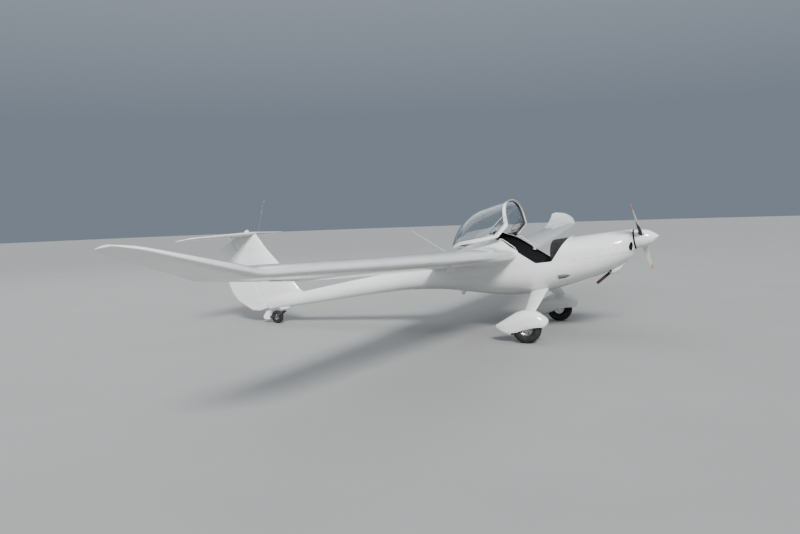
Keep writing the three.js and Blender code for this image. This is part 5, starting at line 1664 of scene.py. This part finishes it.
GL_ST = stations((1030, 2180, 12))
shell_out = hull("canopy_out", GL_ST, 0, 160)
canopy_out = Smooth(shell_out)
shell_in = hull("canopy_in", stations((1029, 2181, 12)), GLASS_SKIN, 160)
canopy_in = Smooth(shell_in)
canopy_in.normals = [-n for n in canopy_in.normals]
cut(shell_out, shell_in)
cshell = shell_out
both_skins = Pair(canopy_out, canopy_in)

band = cshell.copy()
band.data = cshell.data.copy()
scene.collection.objects.link(band)
common(band, rim_prism(0))
cut(band, rim_prism(BAND))
# stiffening roll inside the band
roll = hull("roll", stations((1029, 2181, 24)), GLASS_SKIN - 0.5, 96)
cut(roll, hull("roll_in", stations((1028, 2182, 24)), GLASS_SKIN + 9, 96))
common(roll, rim_prism(14))
cut(roll, rim_prism(BAND - 8))
join_solid(band, roll)
for side in (-1, 1):
    join_solid(band, slab("lug", rounded([(1466, -118), (1497, -118), (1504, -70), (1500, -40), (1470, -50)], 6, 3, True), side * 481, side * 493),
               slab("lug_foot", [(1474, -80), (1500, -58), (1500, -38), (1474, -50)], side * 481, side * 518),
               bar("eye_pin", P(L_EYE[0], side * 461, L_EYE[1]), P(L_EYE[0], side * 485, L_EYE[1]), 4, segs=24))


RIM_LINES[0] = np.array(rim_outline(0)[:-2], float)


def band_faces(c, n):
    """Grey inside, a white edge round the opening, dark lugs."""
    inner = inside_hull(c, GLASS_SKIN - 2)
    out = np.zeros(len(c), int)
    for i in np.where(inner)[0]:
        out[i] = 0 if near_rim(c[i, 1], c[i, 2], 0, 15) else 1
    x = np.abs(c[:, 0])
    out[(x > 459) & (x < 510) & (c[:, 1] > 1464) & (c[:, 1] < 1507) & (c[:, 2] > -119) & (c[:, 2] < -36) & inner] = 2
    return out


tint(band, [WHITE, TRIM, SEAL_AND_GAP_SHADE], band_faces)
lend(band, both_skins, limit=40)
swing(band)
place(band, "canopy", "body_white", ("canopy_frame",), smooth=False)

glass = cshell
common(glass, rim_prism(BAND + GAP))
paint(glass, GLASS)
lend(glass, both_skins, limit=40)
swing(glass)
place(glass, "canopy", "canopy_glass", ("canopy_glass",), smooth=False)


def on_canopy(sh, side, out):
    s, h = sh
    return P(s, side * (hull_half(s, h) + out), h)


# black seal line where the clear part meets its frame
edge = rounded(offset_chain(RIM, BAND), [r - 20 if r else 0 for r in RIM_ROUND], 8)


def chain_points(chain, step=18):
    out = []
    for (x0, y0), (x1, y1) in zip(chain, chain[1:]):
        k = max(1, int(math.hypot(x1 - x0, y1 - y0) / step))
        out += [(x0 + (x1 - x0) * i / k, y0 + (y1 - y0) * i / k) for i in range(k)]
    return out + [chain[-1]]


def plane_line(a, b, out, n=40):
    """Where the slanting plane through (s, h) points a and b cuts the hull, from one flank to the other."""
    res = []
    for u in np.linspace(0, 1, n):
        s, h = a[0] + (b[0] - a[0]) * u, a[1] + (b[1] - a[1]) * u
        if hull_row(s)[0] - h > 1.5:
            res.append((s, h))
    # the crown: march up to the top
    lo, hi = 0.0, 1.0
    for _ in range(50):
        m = (lo + hi) / 2
        s, h = a[0] + (b[0] - a[0]) * m, a[1] + (b[1] - a[1]) * m
        if hull_row(s)[0] > h:
            lo = m
        else:
            hi = m
    s, h = a[0] + (b[0] - a[0]) * lo, a[1] + (b[1] - a[1]) * lo
    top = (s, hull_row(s)[0])
    flank = [q for q in res if top[1] - q[1] > 3]
    wid = hull_half(*flank[-1])
    left = [P(q[0], hull_half(*q) + out, q[1]) for q in flank]
    crown = []
    for b_ in np.linspace(wid, -wid, 24)[1:-1]:
        # invert the superellipse for the height at this half width
        tp, bt, w, hm, nu, nl = hull_row(s)
        hh = hm + (tp - hm) * (1 - min(1, abs(b_) / w) ** nu) ** (1 / nu)
        ss = a[0] + (b[0] - a[0]) * (hh - a[1]) / (b[1] - a[1]) if abs(b[1] - a[1]) > 1 else s
        tp, bt, w, hm, nu, nl = hull_row(ss)
        hh = hm + (tp - hm) * (1 - min(1, abs(b_) / w) ** nu) ** (1 / nu)
        crown.append(P(ss, b_, hh + out))
    right = [P(q[0], -(hull_half(*q) + out), q[1]) for q in flank[::-1]]
    return left + crown + right


def ribbon(name, pts, r, mat, closed=False):
    o = tube(name, pts, r, 8)
    paint(o, mat)
    return o


chain = edge
front = plane_line(chain[1], chain[0], 0.8)       # windscreen arch
rear = plane_line(chain[-2], chain[-1], 0.8)      # rear bow
low_r = [on_canopy(q, 1, 0.8) for q in chain_points(chain[1:-1])]
low_l = [on_canopy(q, -1, 0.8) for q in chain_points(chain[1:-1])]
pieces = []
for nm, line in (("front", front), ("rear", rear), ("right", low_r), ("left", low_l)):
    pieces.append(ribbon("seal_" + nm, line, 2.2, SEAL_AND_GAP_SHADE))
seal = merged("canopy_seal", pieces)
swing(seal)
place(seal, "canopy", "cabin_black")

# sliding vent windows: seam, rails and a finger scoop on each flank
VENT = rounded([(1196, -6), (1246, -44), (1458, -36), (1494, -6), (1462, 28), (1224, 8)], 16, 5, True)
vents = []
for side in (-1, 1):
    pts = [on_canopy(q, side, 1.2) for q in VENT]
    vents.append(ribbon("vent_seam", pts + [pts[0]], 1.8, SEAL_AND_GAP_SHADE))
    for q0, q1 in (((1204, 20), (1476, 44)), ((1252, -52), (1470, -45))):
        line = [on_canopy((q0[0] + (q1[0] - q0[0]) * t, q0[1] + (q1[1] - q0[1]) * t), side, 2.6) for t in np.linspace(0, 1, 20)]
        # the clear rails are drawn opaque light grey: painted sheen of clear plastic
        rail = tube("vent_rail", line, 4.6, 10)
        paint(rail, RAIL_SHEEN)
        vents.append(rail)
    hole = [on_canopy((1300 + 15 * math.cos(a), -14 + 15 * math.sin(a)), side, 1.4) for a in np.linspace(0, 2 * math.pi, 32)]
    vents.append(ribbon("finger_ring", hole, 2.4, SEAL_AND_GAP_SHADE))
    grip = tube("vent_grip", [on_canopy((1436 + 62 * t, -24 + 40 * t), side, 5.0 + 5 * math.sin(math.pi * t)) for t in np.linspace(0, 1, 10)], [5, 7, 8, 8, 8, 8, 8, 8, 7, 5], 14)
    paint(grip, PANEL)
    vents.append(grip)
v = merged("vent_windows", vents)
swing(v)
place(v, "canopy", "canopy_glass")

# latch handles on the canopy's inner band
hand = []
for side in (-1, 1):
    for s, h in ((1330, -78), ):
        b = hull_half(s, h) - 22
        hand.append(tube("latch", [P(s - 34, side * b, h), P(s - 10, side * (b - 6), h + 3), P(s + 30, side * (b - 10), h + 4), P(s + 52, side * (b - 7), h + 2)], [7, 6, 5.5, 6.5], 14))
for o in hand:
    paint(o, PANEL)
hnd = merged("canopy_latches", hand)
swing(hnd)
place(hnd, "canopy", "cabin_black")

eye = open_up @ Vector((0, L_EYE[0], L_EYE[1]))
for side in (-1, 1):
    word = "right" if side > 0 else "left"
    p, q = P(L_PIVOT[0], side * L_B, L_PIVOT[1]), P(eye.y, side * L_B, eye.z)
    d = q - p
    up = np.array([0, -d[2], d[1]])
    up /= np.linalg.norm(up)
    path = [p, p + d * 0.06 + up * 6] + [p + d * t + up * 24 * min(1, math.sin(min(t, 1 - t) / 0.2 * math.pi / 2) if min(t, 1 - t) < 0.2 else 1) for t in np.linspace(0.1, 0.9, 17)] + [p + d * 0.94 + up * 6, q]
    arm = tube("arm", path, 4.9, 20)
    for e in (p, q):
        join_solid(arm, bar("eye", e + P(0, -5, 0), e + P(0, 5, 0), 11, segs=40))
    for e in (p, q):
        cut(arm, bar("eye_hole", e + P(0, -9, 0), e + P(0, 9, 0), 5, segs=32))
    paint(arm, WHITE)
    place(arm, "canopy_arms", "body_white", ("canopy_link_" + word,), angle=40)

# ------------------------------------------------------------------ cockpit
FLOOR_H, SEAT_B0, SEAT_B1 = -425, 62, 440


def hood_ring(s, inset, n=128):
    r = hull_ring(1062, inset, n)
    r[:, 1] = s
    return r


hood = loft("hood", [hood_ring(s, 22) for s in stations((1064, 1284, 11))])
cut(hood, loft("hood_in", [hood_ring(1050, 32), hood_ring(1300, 32)]))
common(hood, box3("above", 900, 2400, -700, 700, -150, 700))
bevel(hood, 2.4, 3, 40)
paint(hood, HOOD)
place(hood, slot="cabin_black", stands_for=("glareshield",), angle=40)

panel = loft("panel", [hood_ring(1262.5, 32.3), hood_ring(1271.5, 32.3)])
common(panel, box3("above", 900, 2400, -700, 700, -168, 700))
paint(panel, PANEL)
place(panel, slot="cabin_black", stands_for=("instrument_panel",))

# instruments: bezels, faces with plain tick marks, hands; a blank display, switches and knobs
WHITE_MARK = painted("dial_marks", (0.62, 0.62, 0.58), (0.75, 0.75, 0.70), 0.6, 0.0)
SCREEN = painted("blank_display", (0.012, 0.016, 0.020), (0.028, 0.034, 0.042), 0.08, 0.6)
dials = []
FRONT = 1271.6


def dial(b, h, r):
    ring = lathe("bezel", [(r - 2, 0), (r + 4, 0), (r + 4, 3), (r + 1, 6), (r - 1, 5), (r - 2, 2), (r - 2, 0)], P(FRONT, b, h), np.array([0, 1.0, 0]), 56)
    face = lathe("face", [(0, 0), (r - 1, 0), (r - 1, 1.4), (0, 1.4)], P(FRONT, b, h), np.array([0, 1.0, 0]), 56)
    paint(ring, PANEL)
    paint(face, SCREEN)
    out = [ring, face]
    for i in range(12):
        a = i / 12 * 2 * math.pi
        r0, r1 = r * (0.72 if i % 3 == 0 else 0.8), r * 0.92
        t = bar("tick", P(FRONT + 1.6, b + r0 * math.cos(a), h + r0 * math.sin(a)), P(FRONT + 1.6, b + r1 * math.cos(a), h + r1 * math.sin(a)), 0.7, segs=6)
        paint(t, WHITE_MARK)
        out.append(t)
    a = 1.1 + 0.01 * (b + h)
    n = bar("hand", P(FRONT + 2.4, b - 6 * math.cos(a), h - 6 * math.sin(a)), P(FRONT + 2.4, b + r * 0.7 * math.cos(a), h + r * 0.7 * math.sin(a)), 1.3, 0.5, segs=8)
    paint(n, WHITE_MARK)
    cap = lathe("cap", [(0, 1.4), (3.5, 1.4), (3, 4), (0, 4.4)], P(FRONT, b, h), np.array([0, 1.0, 0]), 20)
    paint(cap, BLACK)
    return out + [n, cap]


for b in (-300, -214):
    for h in (60, -28):
        dials += dial(b, h, 33)
for b in (214, 300):
    for h in (60, -28):
        dials += dial(b, h, 33)
for i, b in enumerate((-132, 132)):
    for h in (78, 16, -46):
        dials += dial(b, h, 24)
for b0, b1, h0, h1 in ((-90, 90, 20, 96), (-90, 90, -24, 8), (-90, 90, -64, -34)):
    o = box3("display", FRONT, FRONT + 6, b0, b1, h0, h1)
    bevel(o, 2, 3)
    paint(o, PANEL)
    s = box3("display_glass", FRONT + 5.6, FRONT + 6.6, b0 + 7, b1 - 7 if h1 > 20 else b1 - 46, h0 + 6, h1 - 6)
    paint(s, SCREEN)
    dials += [o, s]
    for kk, h in enumerate(((h0 + h1) / 2,)):
        if h1 < 20:
            kb = lathe("knob", [(0, 6), (8, 6), (8, 16), (6.5, 18), (0, 18)], P(FRONT, b1 - 14, h), np.array([0, 1.0, 0]), 28)
            paint(kb, BLACK)
            dials.append(kb)
for i in range(9):
    b = -250 + i * 30
    t = bar("switch", P(FRONT, b, -96), P(FRONT + 14, b, -90), 2.4, 3.2, 12)
    paint(t, STEEL)
    g = lathe("nut", [(0, 0), (6, 0), (6, 3), (0, 3)], P(FRONT, b, -96), np.array([0, 1.0, 0]), 6)
    paint(g, STEEL)
    dials += [t, g]
for b, m in ((60, BLACK), (100, BLACK), (140, ORANGE)):
    sh = bar("lever_rod", P(FRONT - 1, b, -104), P(FRONT + 26, b, -104), 3.4, segs=14)
    kb = lathe("lever_knob", [(0, 24), (11, 25), (13, 31), (11, 38), (0, 40)], P(FRONT, b, -104), np.array([0, 1.0, 0]), 28)
    paint(sh, STEEL)
    paint(kb, m)
    dials += [sh, kb]
d = merged("instruments", dials)
place(d, slot="cabin_black", angle=40)

inner = hull("cabin_room", stations((1029, 2688, 30)), SKIN + GAP, 96)
floor = box3("floor", 1100, 2170, -560, 560, FLOOR_H - 14, FLOOR_H)
common(floor, inner, keep=True)
bevel(floor, 1.2, 2)
CARPET = cloth_material("cabin_carpet", (0.030, 0.031, 0.034), (0.070, 0.072, 0.078), 700)
paint(floor, CARPET)
place(floor, slot="cabin_black", stands_for=("cabin_floor",))
pan_line = [(1452, FLOOR_H + GAP), (1462, -318), (1484, -300), (1790, -338), (1822, -322), (1996, 92), (2150, 92), (2150, 80),
            (2008, 80), (1840, -330), (1812, FLOOR_H + GAP), (1800, FLOOR_H + GAP), (1822, -346), (1800, -350), (1486, -312), (1474, -322), (1464, FLOOR_H + GAP)]
pan = slab("pan", pan_line, -560, 560)
common(pan, inner, keep=True)
bevel(pan, 3, 3, 25)
paint(pan, BLACK)
place(pan, slot="cabin_black", stands_for=("seat_pan",))
bulk = box3("bulkhead", 2180, 2190, -560, 560, -520, 340)
common(bulk, inner, keep=True)
paint(bulk, LINING)
place(bulk, slot="body_white", stands_for=("rear_bulkhead",))
fwall = loft("fwall", [hull_ring(1030.3, SKIN + GAP, 128), hull_ring(1038, SKIN + GAP, 128)])
paint(fwall, ALU)
place(fwall, slot="bare_metal", stands_for=("firewall",))
con = slab("console", rounded([(1300, FLOOR_H + GAP), (1300, -250), (1330, -215), (1450, -212), (1480, -240), (1780, -262), (1786, -336), (1484, -299), (1461, -318), (1450, FLOOR_H + GAP)],
                              [0, 20, 20, 20, 30, 8, 4, 4, 4, 0], 5, True), -46, 46)
bevel(con, 6, 4, 35)
paint(con, PANEL)
place(con, slot="cabin_black", stands_for=("centre_console",))
lev = []
for b, s in ((-18, 1370), (0, 1370), (18, 1370)):
    a = tube("lever", [P(s, b, -214), P(s - 6, b, -190), P(s - 16, b, -160)], [3, 3, 3], 10)
    k = lathe("lever_ball", [(0, -9), (6, -7), (9, 0), (6, 7), (0, 9)], P(s - 18, b, -156), np.array([0, -0.3, 1.0]), 20)
    paint(a, STEEL)
    paint(k, BLACK)
    lev += [a, k]
slot_plate = slab("lever_gate", rounded([(1338, -211.6), (1400, -211.6), (1400, -208.5), (1338, -208.5)], 1, 2, True), -32, 32)
paint(slot_plate, ALU)
lv = merged("console_levers", lev + [slot_plate])
place(lv, slot="cabin_black")

for side in (-1, 1):
    word = "right" if side > 0 else "left"
    b = side * 250
    st = tube("stick", curve([P(1424, b, FLOOR_H + GAP), P(1420, b, -380), P(1440, b, -240), P(1436, b, -196)], 24), 10.4, 20)
    grip = tube("grip", curve([P(1437, b, -200), P(1436, b, -180), P(1431, b, -140), P(1430, b, -104), P(1429, b, -94)], 26),
                [12 + 4.2 * math.sin(t * 9.0) ** 2 * (1 - t * 0.4) + (3 if t < 0.9 else 3 * (1 - (t - 0.9) * 9.5)) for t in np.linspace(0, 1, 26)], 24)
    boot = lathe("boot", [(0, 0), (44, 0), (40, 6), (33, 9), (36, 14), (28, 18), (30, 23), (20, 28), (21, 33), (11.5, 40), (0, 40)], P(1423.5, b, FLOOR_H + 1), np.array([0, 0, 1.0]), 40)
    btn = lathe("button", [(0, 0), (5, 0), (5, 4), (3.5, 5), (0, 5.2)], P(1440, b, -118), np.array([0, 1.0, 0.3]), 18)
    paint(st, ALU)
    paint(grip, BLACK)
    paint(boot, HOOD)
    paint(btn, ORANGE)
    m = merged("control_stick_set_" + word, [st, grip, boot, btn])
    place(m, slot="cabin_black", stands_for=("control_stick_" + word,), angle=40)

ped = [bar("cross_tube", P(1128, -290, -340), P(1128, 290, -340), 8.8, segs=28)]
paint(ped[0], ALU)
for b in (-250, -120, 120, 250):
    o = slab("pedal", rounded([(1112, -384), (1122, -386), (1142, -262), (1132, -260)], 3, 3, True), b - 38, b + 38)
    for k in range(5):
        h0 = -366 + k * 20
        cut(o, slab("rib", [(1109 + (h0 + 384) * 0.163, h0), (1140 + (h0 + 384) * 0.163, h0 - 4), (1140 + (h0 + 384) * 0.163, h0 + 3), (1109 + (h0 + 384) * 0.163, h0 + 7)], b - 28, b + 28))
    paint(o, ALU)
    ped.append(o)
for b in (-43, 43):
    o = slab("pedal_mount", [(1120, -345), (1138, -345), (1206, FLOOR_H + GAP), (1170, FLOOR_H + GAP)], b - 3, b + 3)
    paint(o, ALU)
    ped.append(o)
m = merged("pedal_set", ped)
place(m, slot="dark_metal", stands_for=("rudder_pedals",), angle=30)


# cushions: a slightly smaller block, blown up by the cloth solver, then sewn channels
def puffed(name, outline, b0, b1, cap=9.0, channels=(), across=(), pull=3.5, shrink=5.0, pressure=4.0):
    pts = np.array(outline, float)
    c = pts.mean(0)
    v = pts - c
    l = np.linalg.norm(v, axis=1)
    pts = c + v * (1 - shrink / l)[:, None]
    lo, hi = min(b0, b1) + shrink, max(b0, b1) - shrink
    o = slab(name, [tuple(q) for q in rounded([tuple(q) for q in pts], 12, 4, True)], lo, hi)
    o.data.transform(Matrix.Scale(0.001, 4))
    rm = o.modifiers.new("remesh", "REMESH")
    rm.mode = "VOXEL"
    rm.voxel_size = 0.006
    bpy.context.view_layer.update()
    me = bpy.data.meshes.new_from_object(o.evaluated_get(bpy.context.evaluated_depsgraph_get()))
    o.modifiers.clear()
    o.data = me
    n = len(me.vertices)
    rest = np.empty(n * 3)
    me.vertices.foreach_get("co", rest)
    rest = rest.reshape(-1, 3)
    cl = o.modifiers.new("cloth", "CLOTH")
    cl.settings.use_pressure = True
    cl.settings.uniform_pressure_force = pressure
    cl.settings.effector_weights.gravity = 0
    cl.settings.quality = 5
    cl.point_cache.frame_start = 1
    cl.point_cache.frame_end = 20
    for f in range(1, 21):
        scene.frame_set(f)
    me2 = bpy.data.meshes.new_from_object(o.evaluated_get(bpy.context.evaluated_depsgraph_get()))
    now = np.empty(n * 3)
    me2.vertices.foreach_get("co", now)
    now = now.reshape(-1, 3)
    d = now - rest
    ln = np.linalg.norm(d, axis=1)
    d *= np.minimum(1, cap * 0.001 / np.maximum(ln, 1e-9))[:, None]
    now = rest + d
    o.modifiers.clear()
    scene.frame_set(1)
    bpy.data.meshes.remove(me2)
    me.vertices.foreach_set("co", (now * 1000).ravel())
    me.update()
    nrm = np.array([tuple(v.normal) for v in me.vertices])
    co = now * 1000
    d = np.zeros(n)
    for b_line in channels:
        d += pull * np.exp(-((co[:, 0] + b_line) / 5.0) ** 2)
    for s0, h0, ds, dh in across:
        l = math.hypot(ds, dh)
        dist = np.abs((co[:, 1] - s0) * dh - (co[:, 2] - h0) * ds) / l
        d += pull * np.exp(-(dist / 5.0) ** 2)
    co = co - nrm * d[:, None]
    me.vertices.foreach_set("co", co.ravel())
    me.update()
    return o


for side in (-1, 1):
    word = "right" if side > 0 else "left"
    mid = side * (SEAT_B0 + SEAT_B1) / 2
    base = puffed("seat_pad_" + word, [(1484, -296), (1482, -262), (1500, -238), (1560, -226), (1700, -246), (1798, -262), (1806, -290), (1800, -325), (1788, -333)],
                  side * SEAT_B0, side * (SEAT_B1 - 4), channels=(mid - 62, mid + 62), across=((1600, -240, 0.12, 1.0), (1700, -250, 0.12, 1.0)))
    paint(base, SEAT)
    place(base, slot="seat_cloth", stands_for=("seat_cushion_" + word,), angle=60)
    back = puffed("seat_back_pad_" + word, [(1825, -308), (1817, -270), (1812, -236), (1936, 62), (1950, 112), (1972, 130), (1990, 122), (2000, 96), (1990, 80)],
                  side * SEAT_B0, side * (SEAT_B1 - 30), channels=(mid - 15 * side - 60, mid - 15 * side + 60), across=((1850, -150, 1.0, -0.42), (1893, -50, 1.0, -0.42), (1935, 50, 1.0, -0.42)))
    paint(back, SEAT)
    place(back, slot="seat_cloth", stands_for=("seat_back_" + word,), angle=60)


# harness: shoulder and lap webbing with buckles, lying on the seats
def strap(name, pts, width, thick_=1.6, across_dir=(-1, 0, 0)):
    pts = curve(pts, max(24, len(pts) * 8))
    rings = []
    for i, p in enumerate(pts):
        t = pts[min(i + 1, len(pts) - 1)] - pts[max(i - 1, 0)]
        t /= np.linalg.norm(t)
        w = np.array(across_dir, float)
        w -= t * np.dot(w, t)
        w /= np.linalg.norm(w)
        n = np.cross(w, t)
        hw, ht = width / 2, thick_ / 2
        ring = [p + w * x + n * y for x, y in ((-hw, -ht), (-hw * 0.5, -ht), (0, -ht), (hw * 0.5, -ht), (hw, -ht), (hw, ht), (hw * 0.5, ht * 1.2), (0, ht * 1.25), (-hw * 0.5, ht * 1.2), (-hw, ht))]
        rings.append(ring)
    return loft(name, rings)


for side in (-1, 1):
    word = "right" if side > 0 else "left"
    mid = side * 238
    straps = []
    for off in (-70, 70):
        b = mid + off
        b2 = mid + off * 0.35
        straps.append(strap("shoulder", [P(2120, b, 96), P(2040, b, 112), P(1992, b, 150), P(1956, b, 148), P(1926, b * 1.0, 66), P(1880, (b + b2) / 2, -44), P(1832, b2, -160), P(1786, b2, -222), P(1752, mid + off * 0.2, -224)], 44, 1.8))
    for off in (-150, 150):
        b = mid + off
        straps.append(strap("lap", [P(1800, b, -262), P(1786, mid + off * 0.8, -232), P(1760, mid + off * 0.45, -222), P(1745, mid + off * 0.12, -222)], 44, 1.8, (0, 1, 0.2)))
    for s in straps:
        paint(s, WEB)
    buckle = slab("buckle", rounded([(1722, -224), (1768, -226), (1768, -208), (1722, -206)], 6, 3, True), mid - 26, mid + 26)
    bevel(buckle, 4, 3)
    paint(buckle, BLACK)
    btn = lathe("buckle_button", [(0, 0), (14, 0), (14, 3), (11, 5), (0, 5.5)], P(1745, mid, -208), np.array([0, 0.02, 1.0]), 32)
    paint(btn, ORANGE)
    hs = merged("harness_" + word, straps + [buckle, btn])
    place(hs, slot="seat_cloth", angle=40)

# ------------------------------------------------------------------ engine bay, exhaust, small fittings
eng = box3("crankcase", 470, 900, -110, 110, -170, 30)
bevel(eng, 16, 4)
cyl = []
for side in (-1, 1):
    for s in (560, 760):
        for k in range(7):
            cyl.append(lathe("fin", [(0, k * 13), (62, k * 13), (62, k * 13 + 5), (50, k * 13 + 5), (50, k * 13 + 13), (0, k * 13 + 13)], P(s, side * 108, -70), np.array([-float(side), 0, 0]), 40))
paint(eng, IRON)
for o in cyl:
    paint(o, IRON)
gear = lathe("gearbox", [(0, 340), (60, 342), (84, 380), (92, 440), (92, 474), (0, 474)], P(0, 0, -4), np.array([0, 1.0, 0]), 64)
paint(gear, IRON)
m = merged("engine_set", [eng, gear] + cyl)
place(m, slot="dark_metal", stands_for=("engine_block",))

pipe_pts = curve([P(560, -30, -322), P(610, -32, -346), P(700, -34, -404), P(840, -36, -492)], 60)
pipe = tube("pipe", pipe_pts, 18.6, 48)
inner_pts = pipe_pts[22:] + [pipe_pts[-1] + (pipe_pts[-1] - pipe_pts[-2]) * 3]
cut(pipe, tube("bore", inner_pts, 16.4, 40))
ring_c = pipe_pts[30]
paint(pipe, EXHAUST)
place(pipe, slot="dark_metal", stands_for=("exhaust_pipe",), angle=40)
clamp = tube("clamp", [ring_c - (pipe_pts[31] - pipe_pts[29]) * 0.9, ring_c + (pipe_pts[31] - pipe_pts[29]) * 0.9], 20.6, 48)
cut(clamp, tube("clamp_in", [ring_c - (pipe_pts[31] - pipe_pts[29]) * 2, ring_c + (pipe_pts[31] - pipe_pts[29]) * 2], 18.8, 48))
paint(clamp, STEEL)
place(clamp, slot="dark_metal")

spine = lambda s: hull_row(s)[0]
ant = tube("antenna_rod", [P(2770, 0, spine(2770) - 6), P(3014, 0, (spine(2770) - 6 + 567) / 2), P(3258, 0, 567)], [3.0, 2.6, 1.9], 20)
ball = lathe("tip", [(0, -3), (2.9, -1), (2.9, 2), (0, 3)], P(3257, 0, 566), np.array([0, 0.78, 0.62]), 16)
base = lathe("antenna_base", [(0, -4), (11, -4), (11, 0), (9.4, 5), (6, 11), (4.2, 17), (0, 18)], P(2781, 0, spine(2781) + 1), np.array([0, 0.35, 0.94]), 32)
for o in (ant, ball):
    paint(o, BLADE_WHITE)
paint(base, BLACK)
m = merged("whip_antenna_set", [ant, ball, base])
place(m, slot="body_white", stands_for=("whip_antenna",), angle=40)

keel = lambda s: hull_row(s)[1]
bf = slab("belly", rounded([(2560, keel(2560) + 12), (2600, keel(2600) - 10), (2640, -418), (2662, -418), (2690, keel(2690) + 12)], [0, 8, 8, 8, 0], 5, True), -5.9, 5.9)
bevel(bf, 5.0, 4, 60)
cut(bf, grown, keep=True)
paint(bf, WHITE)
place(bf, slot="body_white", stands_for=("belly_fin",), angle=40)

probe_pts = curve([P(5812, 0, TAIL_H + 8), P(5790, 0, TAIL_H + 20), P(5730, 0, 1100), P(5642, 0, 1340), P(5620, 0, 1384), P(5585, 0, 1392)], 60)
probe = tube("probe", probe_pts, [4.5] * 44 + list(np.linspace(4.4, 3.4, 10)) + [3.3] * 6, 20)
cut(probe, stab(0.4))
paint(probe, STEEL)
place(probe, slot="body_white", stands_for=("air_probe",), angle=50)
bc = slab("beacon", rounded([(5960, TAIL_H), (5966, 1002), (5984, 1014), (6016, 1012), (6044, 990), (6050, TAIL_H)], [0, 14, 14, 14, 16, 0], 5, True), -18, 18)
bevel(bc, 12, 5, 50)
cut(bc, stab(0.4))
LENS = painted("beacon_lens", (0.50, 0.50, 0.50), (0.60, 0.60, 0.60), 0.12, 0.8)


tint(bc, [WHITE, LENS], lambda c, n: np.where(c[:, 2] > 996, 1, 0))
place(bc, slot="body_white", stands_for=("tail_beacon",), angle=40)

for side in (-1, 1):
    word = "right" if side > 0 else "left"
    blankw = loft("w", wing_lattice(side))
    lug = slab("lug", rounded([(2090, -10), (2170, -10), (2170, 60), (2090, 60)], [10, 10, 0, 0], 4, True), side * 1784, side * 1816)
    cut(lug, blankw)
    paint(lug, WHITE)
    # only what hangs under the wing
    common(lug, box3("low", 2000, 2300, min(side * 1700, side * 1900), max(side * 1700, side * 1900), -60, 56))
    bevel(lug, 2, 2, 50)
    place(lug, slot="body_white", stands_for=("tiedown_" + word,))

# side air scoops under the windscreen's foot: the bulge painted grey as painted shade, a near-black band below it as
# the slot's painted shadow, white beneath
for side in (-1, 1):
    word = "right" if side > 0 else "left"
    rings = []
    for s, k in ((1085, 0.0), (1105, 0.35), (1135, 0.8), (1170, 1.0), (1205, 1.0), (1222, 1.0)):
        ring = []
        for t in np.linspace(0, 2 * math.pi, 40, endpoint=False):
            h = -318 + (10 + 18 * k) * math.sin(t)
            out = (3 + 13 * k) * max(0, math.cos(t)) - 3
            ring.append(P(s, side * (hull_half(s, h) + out), h))
        rings.append(ring)
    sc = loft("side_scoop_" + word, rings)
    hole = []
    for s, k in ((1150, 0.75), (1190, 0.9), (1240, 1.0)):
        ring = []
        for t in np.linspace(0, 2 * math.pi, 32, endpoint=False):
            h = -318 + (6 + 18 * k) * math.sin(t)
            out = (1 + 10.5 * k) * max(0, math.cos(t)) + 0.6
            ring.append(P(s, side * (hull_half(s, h) + out), h))
        hole.append(ring)
    cut(sc, loft("scoop_hole", hole))
    # grey top is painted shade of the bulge, the near-black band is the slot's painted shadow
    tint(sc, [SCOOP_SHADE, SHADE_DARK, WHITE], lambda c, n: np.where(c[:, 2] > -334, 0, np.where(c[:, 2] > -343, 1, 2)))
    place(sc, slot="body_white", angle=40)

# cowling fasteners along the cowlings' joint line and rear edge
heads = []
for side in (-1, 1):
    for q, h in ((420, SPLIT_H + 11), (560, SPLIT_H - 12), (700, SPLIT_H + 11), (850, SPLIT_H + 11), (985, SPLIT_H + 11), (1019, -330), (1019, -230), (1019, -40), (1019, 60), (906, 74)):
        b, e = hull_half(q, h), 1.0
        t1 = np.array(P(q + e, side * hull_half(q + e, h), h)) - np.array(P(q - e, side * hull_half(q - e, h), h))
        t2 = np.array(P(q, side * hull_half(q, h + e), h + e)) - np.array(P(q, side * hull_half(q, h - e), h - e))
        n = np.cross(t1, t2)
        n /= np.linalg.norm(n)
        if n[0] * -side < 0:
            n = -n
        heads.append(lathe("head", [(0, -0.6), (4.6, -0.6), (4.6, 0.7), (3.8, 1.3), (0, 1.3)], P(q, side * b, h), n, 20))
for o in heads:
    paint(o, STEEL)
m = merged("cowling_fasteners", heads)
place(m, slot="bare_metal")

# small vent ports on the flanks, as near-black discs: painted shade of the openings
ports = []
for side in (-1, 1):
    b = hull_half(1995, -36)
    ports.append(lathe("port", [(0, -1), (9, -1), (9, 0.8), (0, 0.8)], P(1995, side * b, -36), np.array([-float(side), 0, 0]), 28))
    paint(ports[-1], SHADE_DARK)
place(merged("vent_ports", ports), slot="cabin_black")

for o in (inner, grown):
    bpy.data.objects.remove(o)

# ------------------------------------------------------------------ floor
FLOOR, fnt, fp = material("studio_floor", roughness=0.85)
fv = mapped(fnt)
fnt.links.new(ramp(fnt, noise(fnt, fv, 0.8, 5), [(0.3, (0.370, 0.370, 0.366)), (0.7, (0.385, 0.385, 0.381))]), fp.inputs["Base Color"])
fnt.links.new(bump(fnt, noise(fnt, fv, 30, 5), 0.15, 0.002), fp.inputs["Normal"])
bm = bmesh.new()
bmesh.ops.create_circle(bm, cap_ends=True, segments=96, radius=70)
me = bpy.data.meshes.new("studio_floor")
bm.to_mesh(me)
bm.free()
fl = bpy.data.objects.new("studio_floor", me)
scene.collection.objects.link(fl)
me.materials.append(FLOOR)
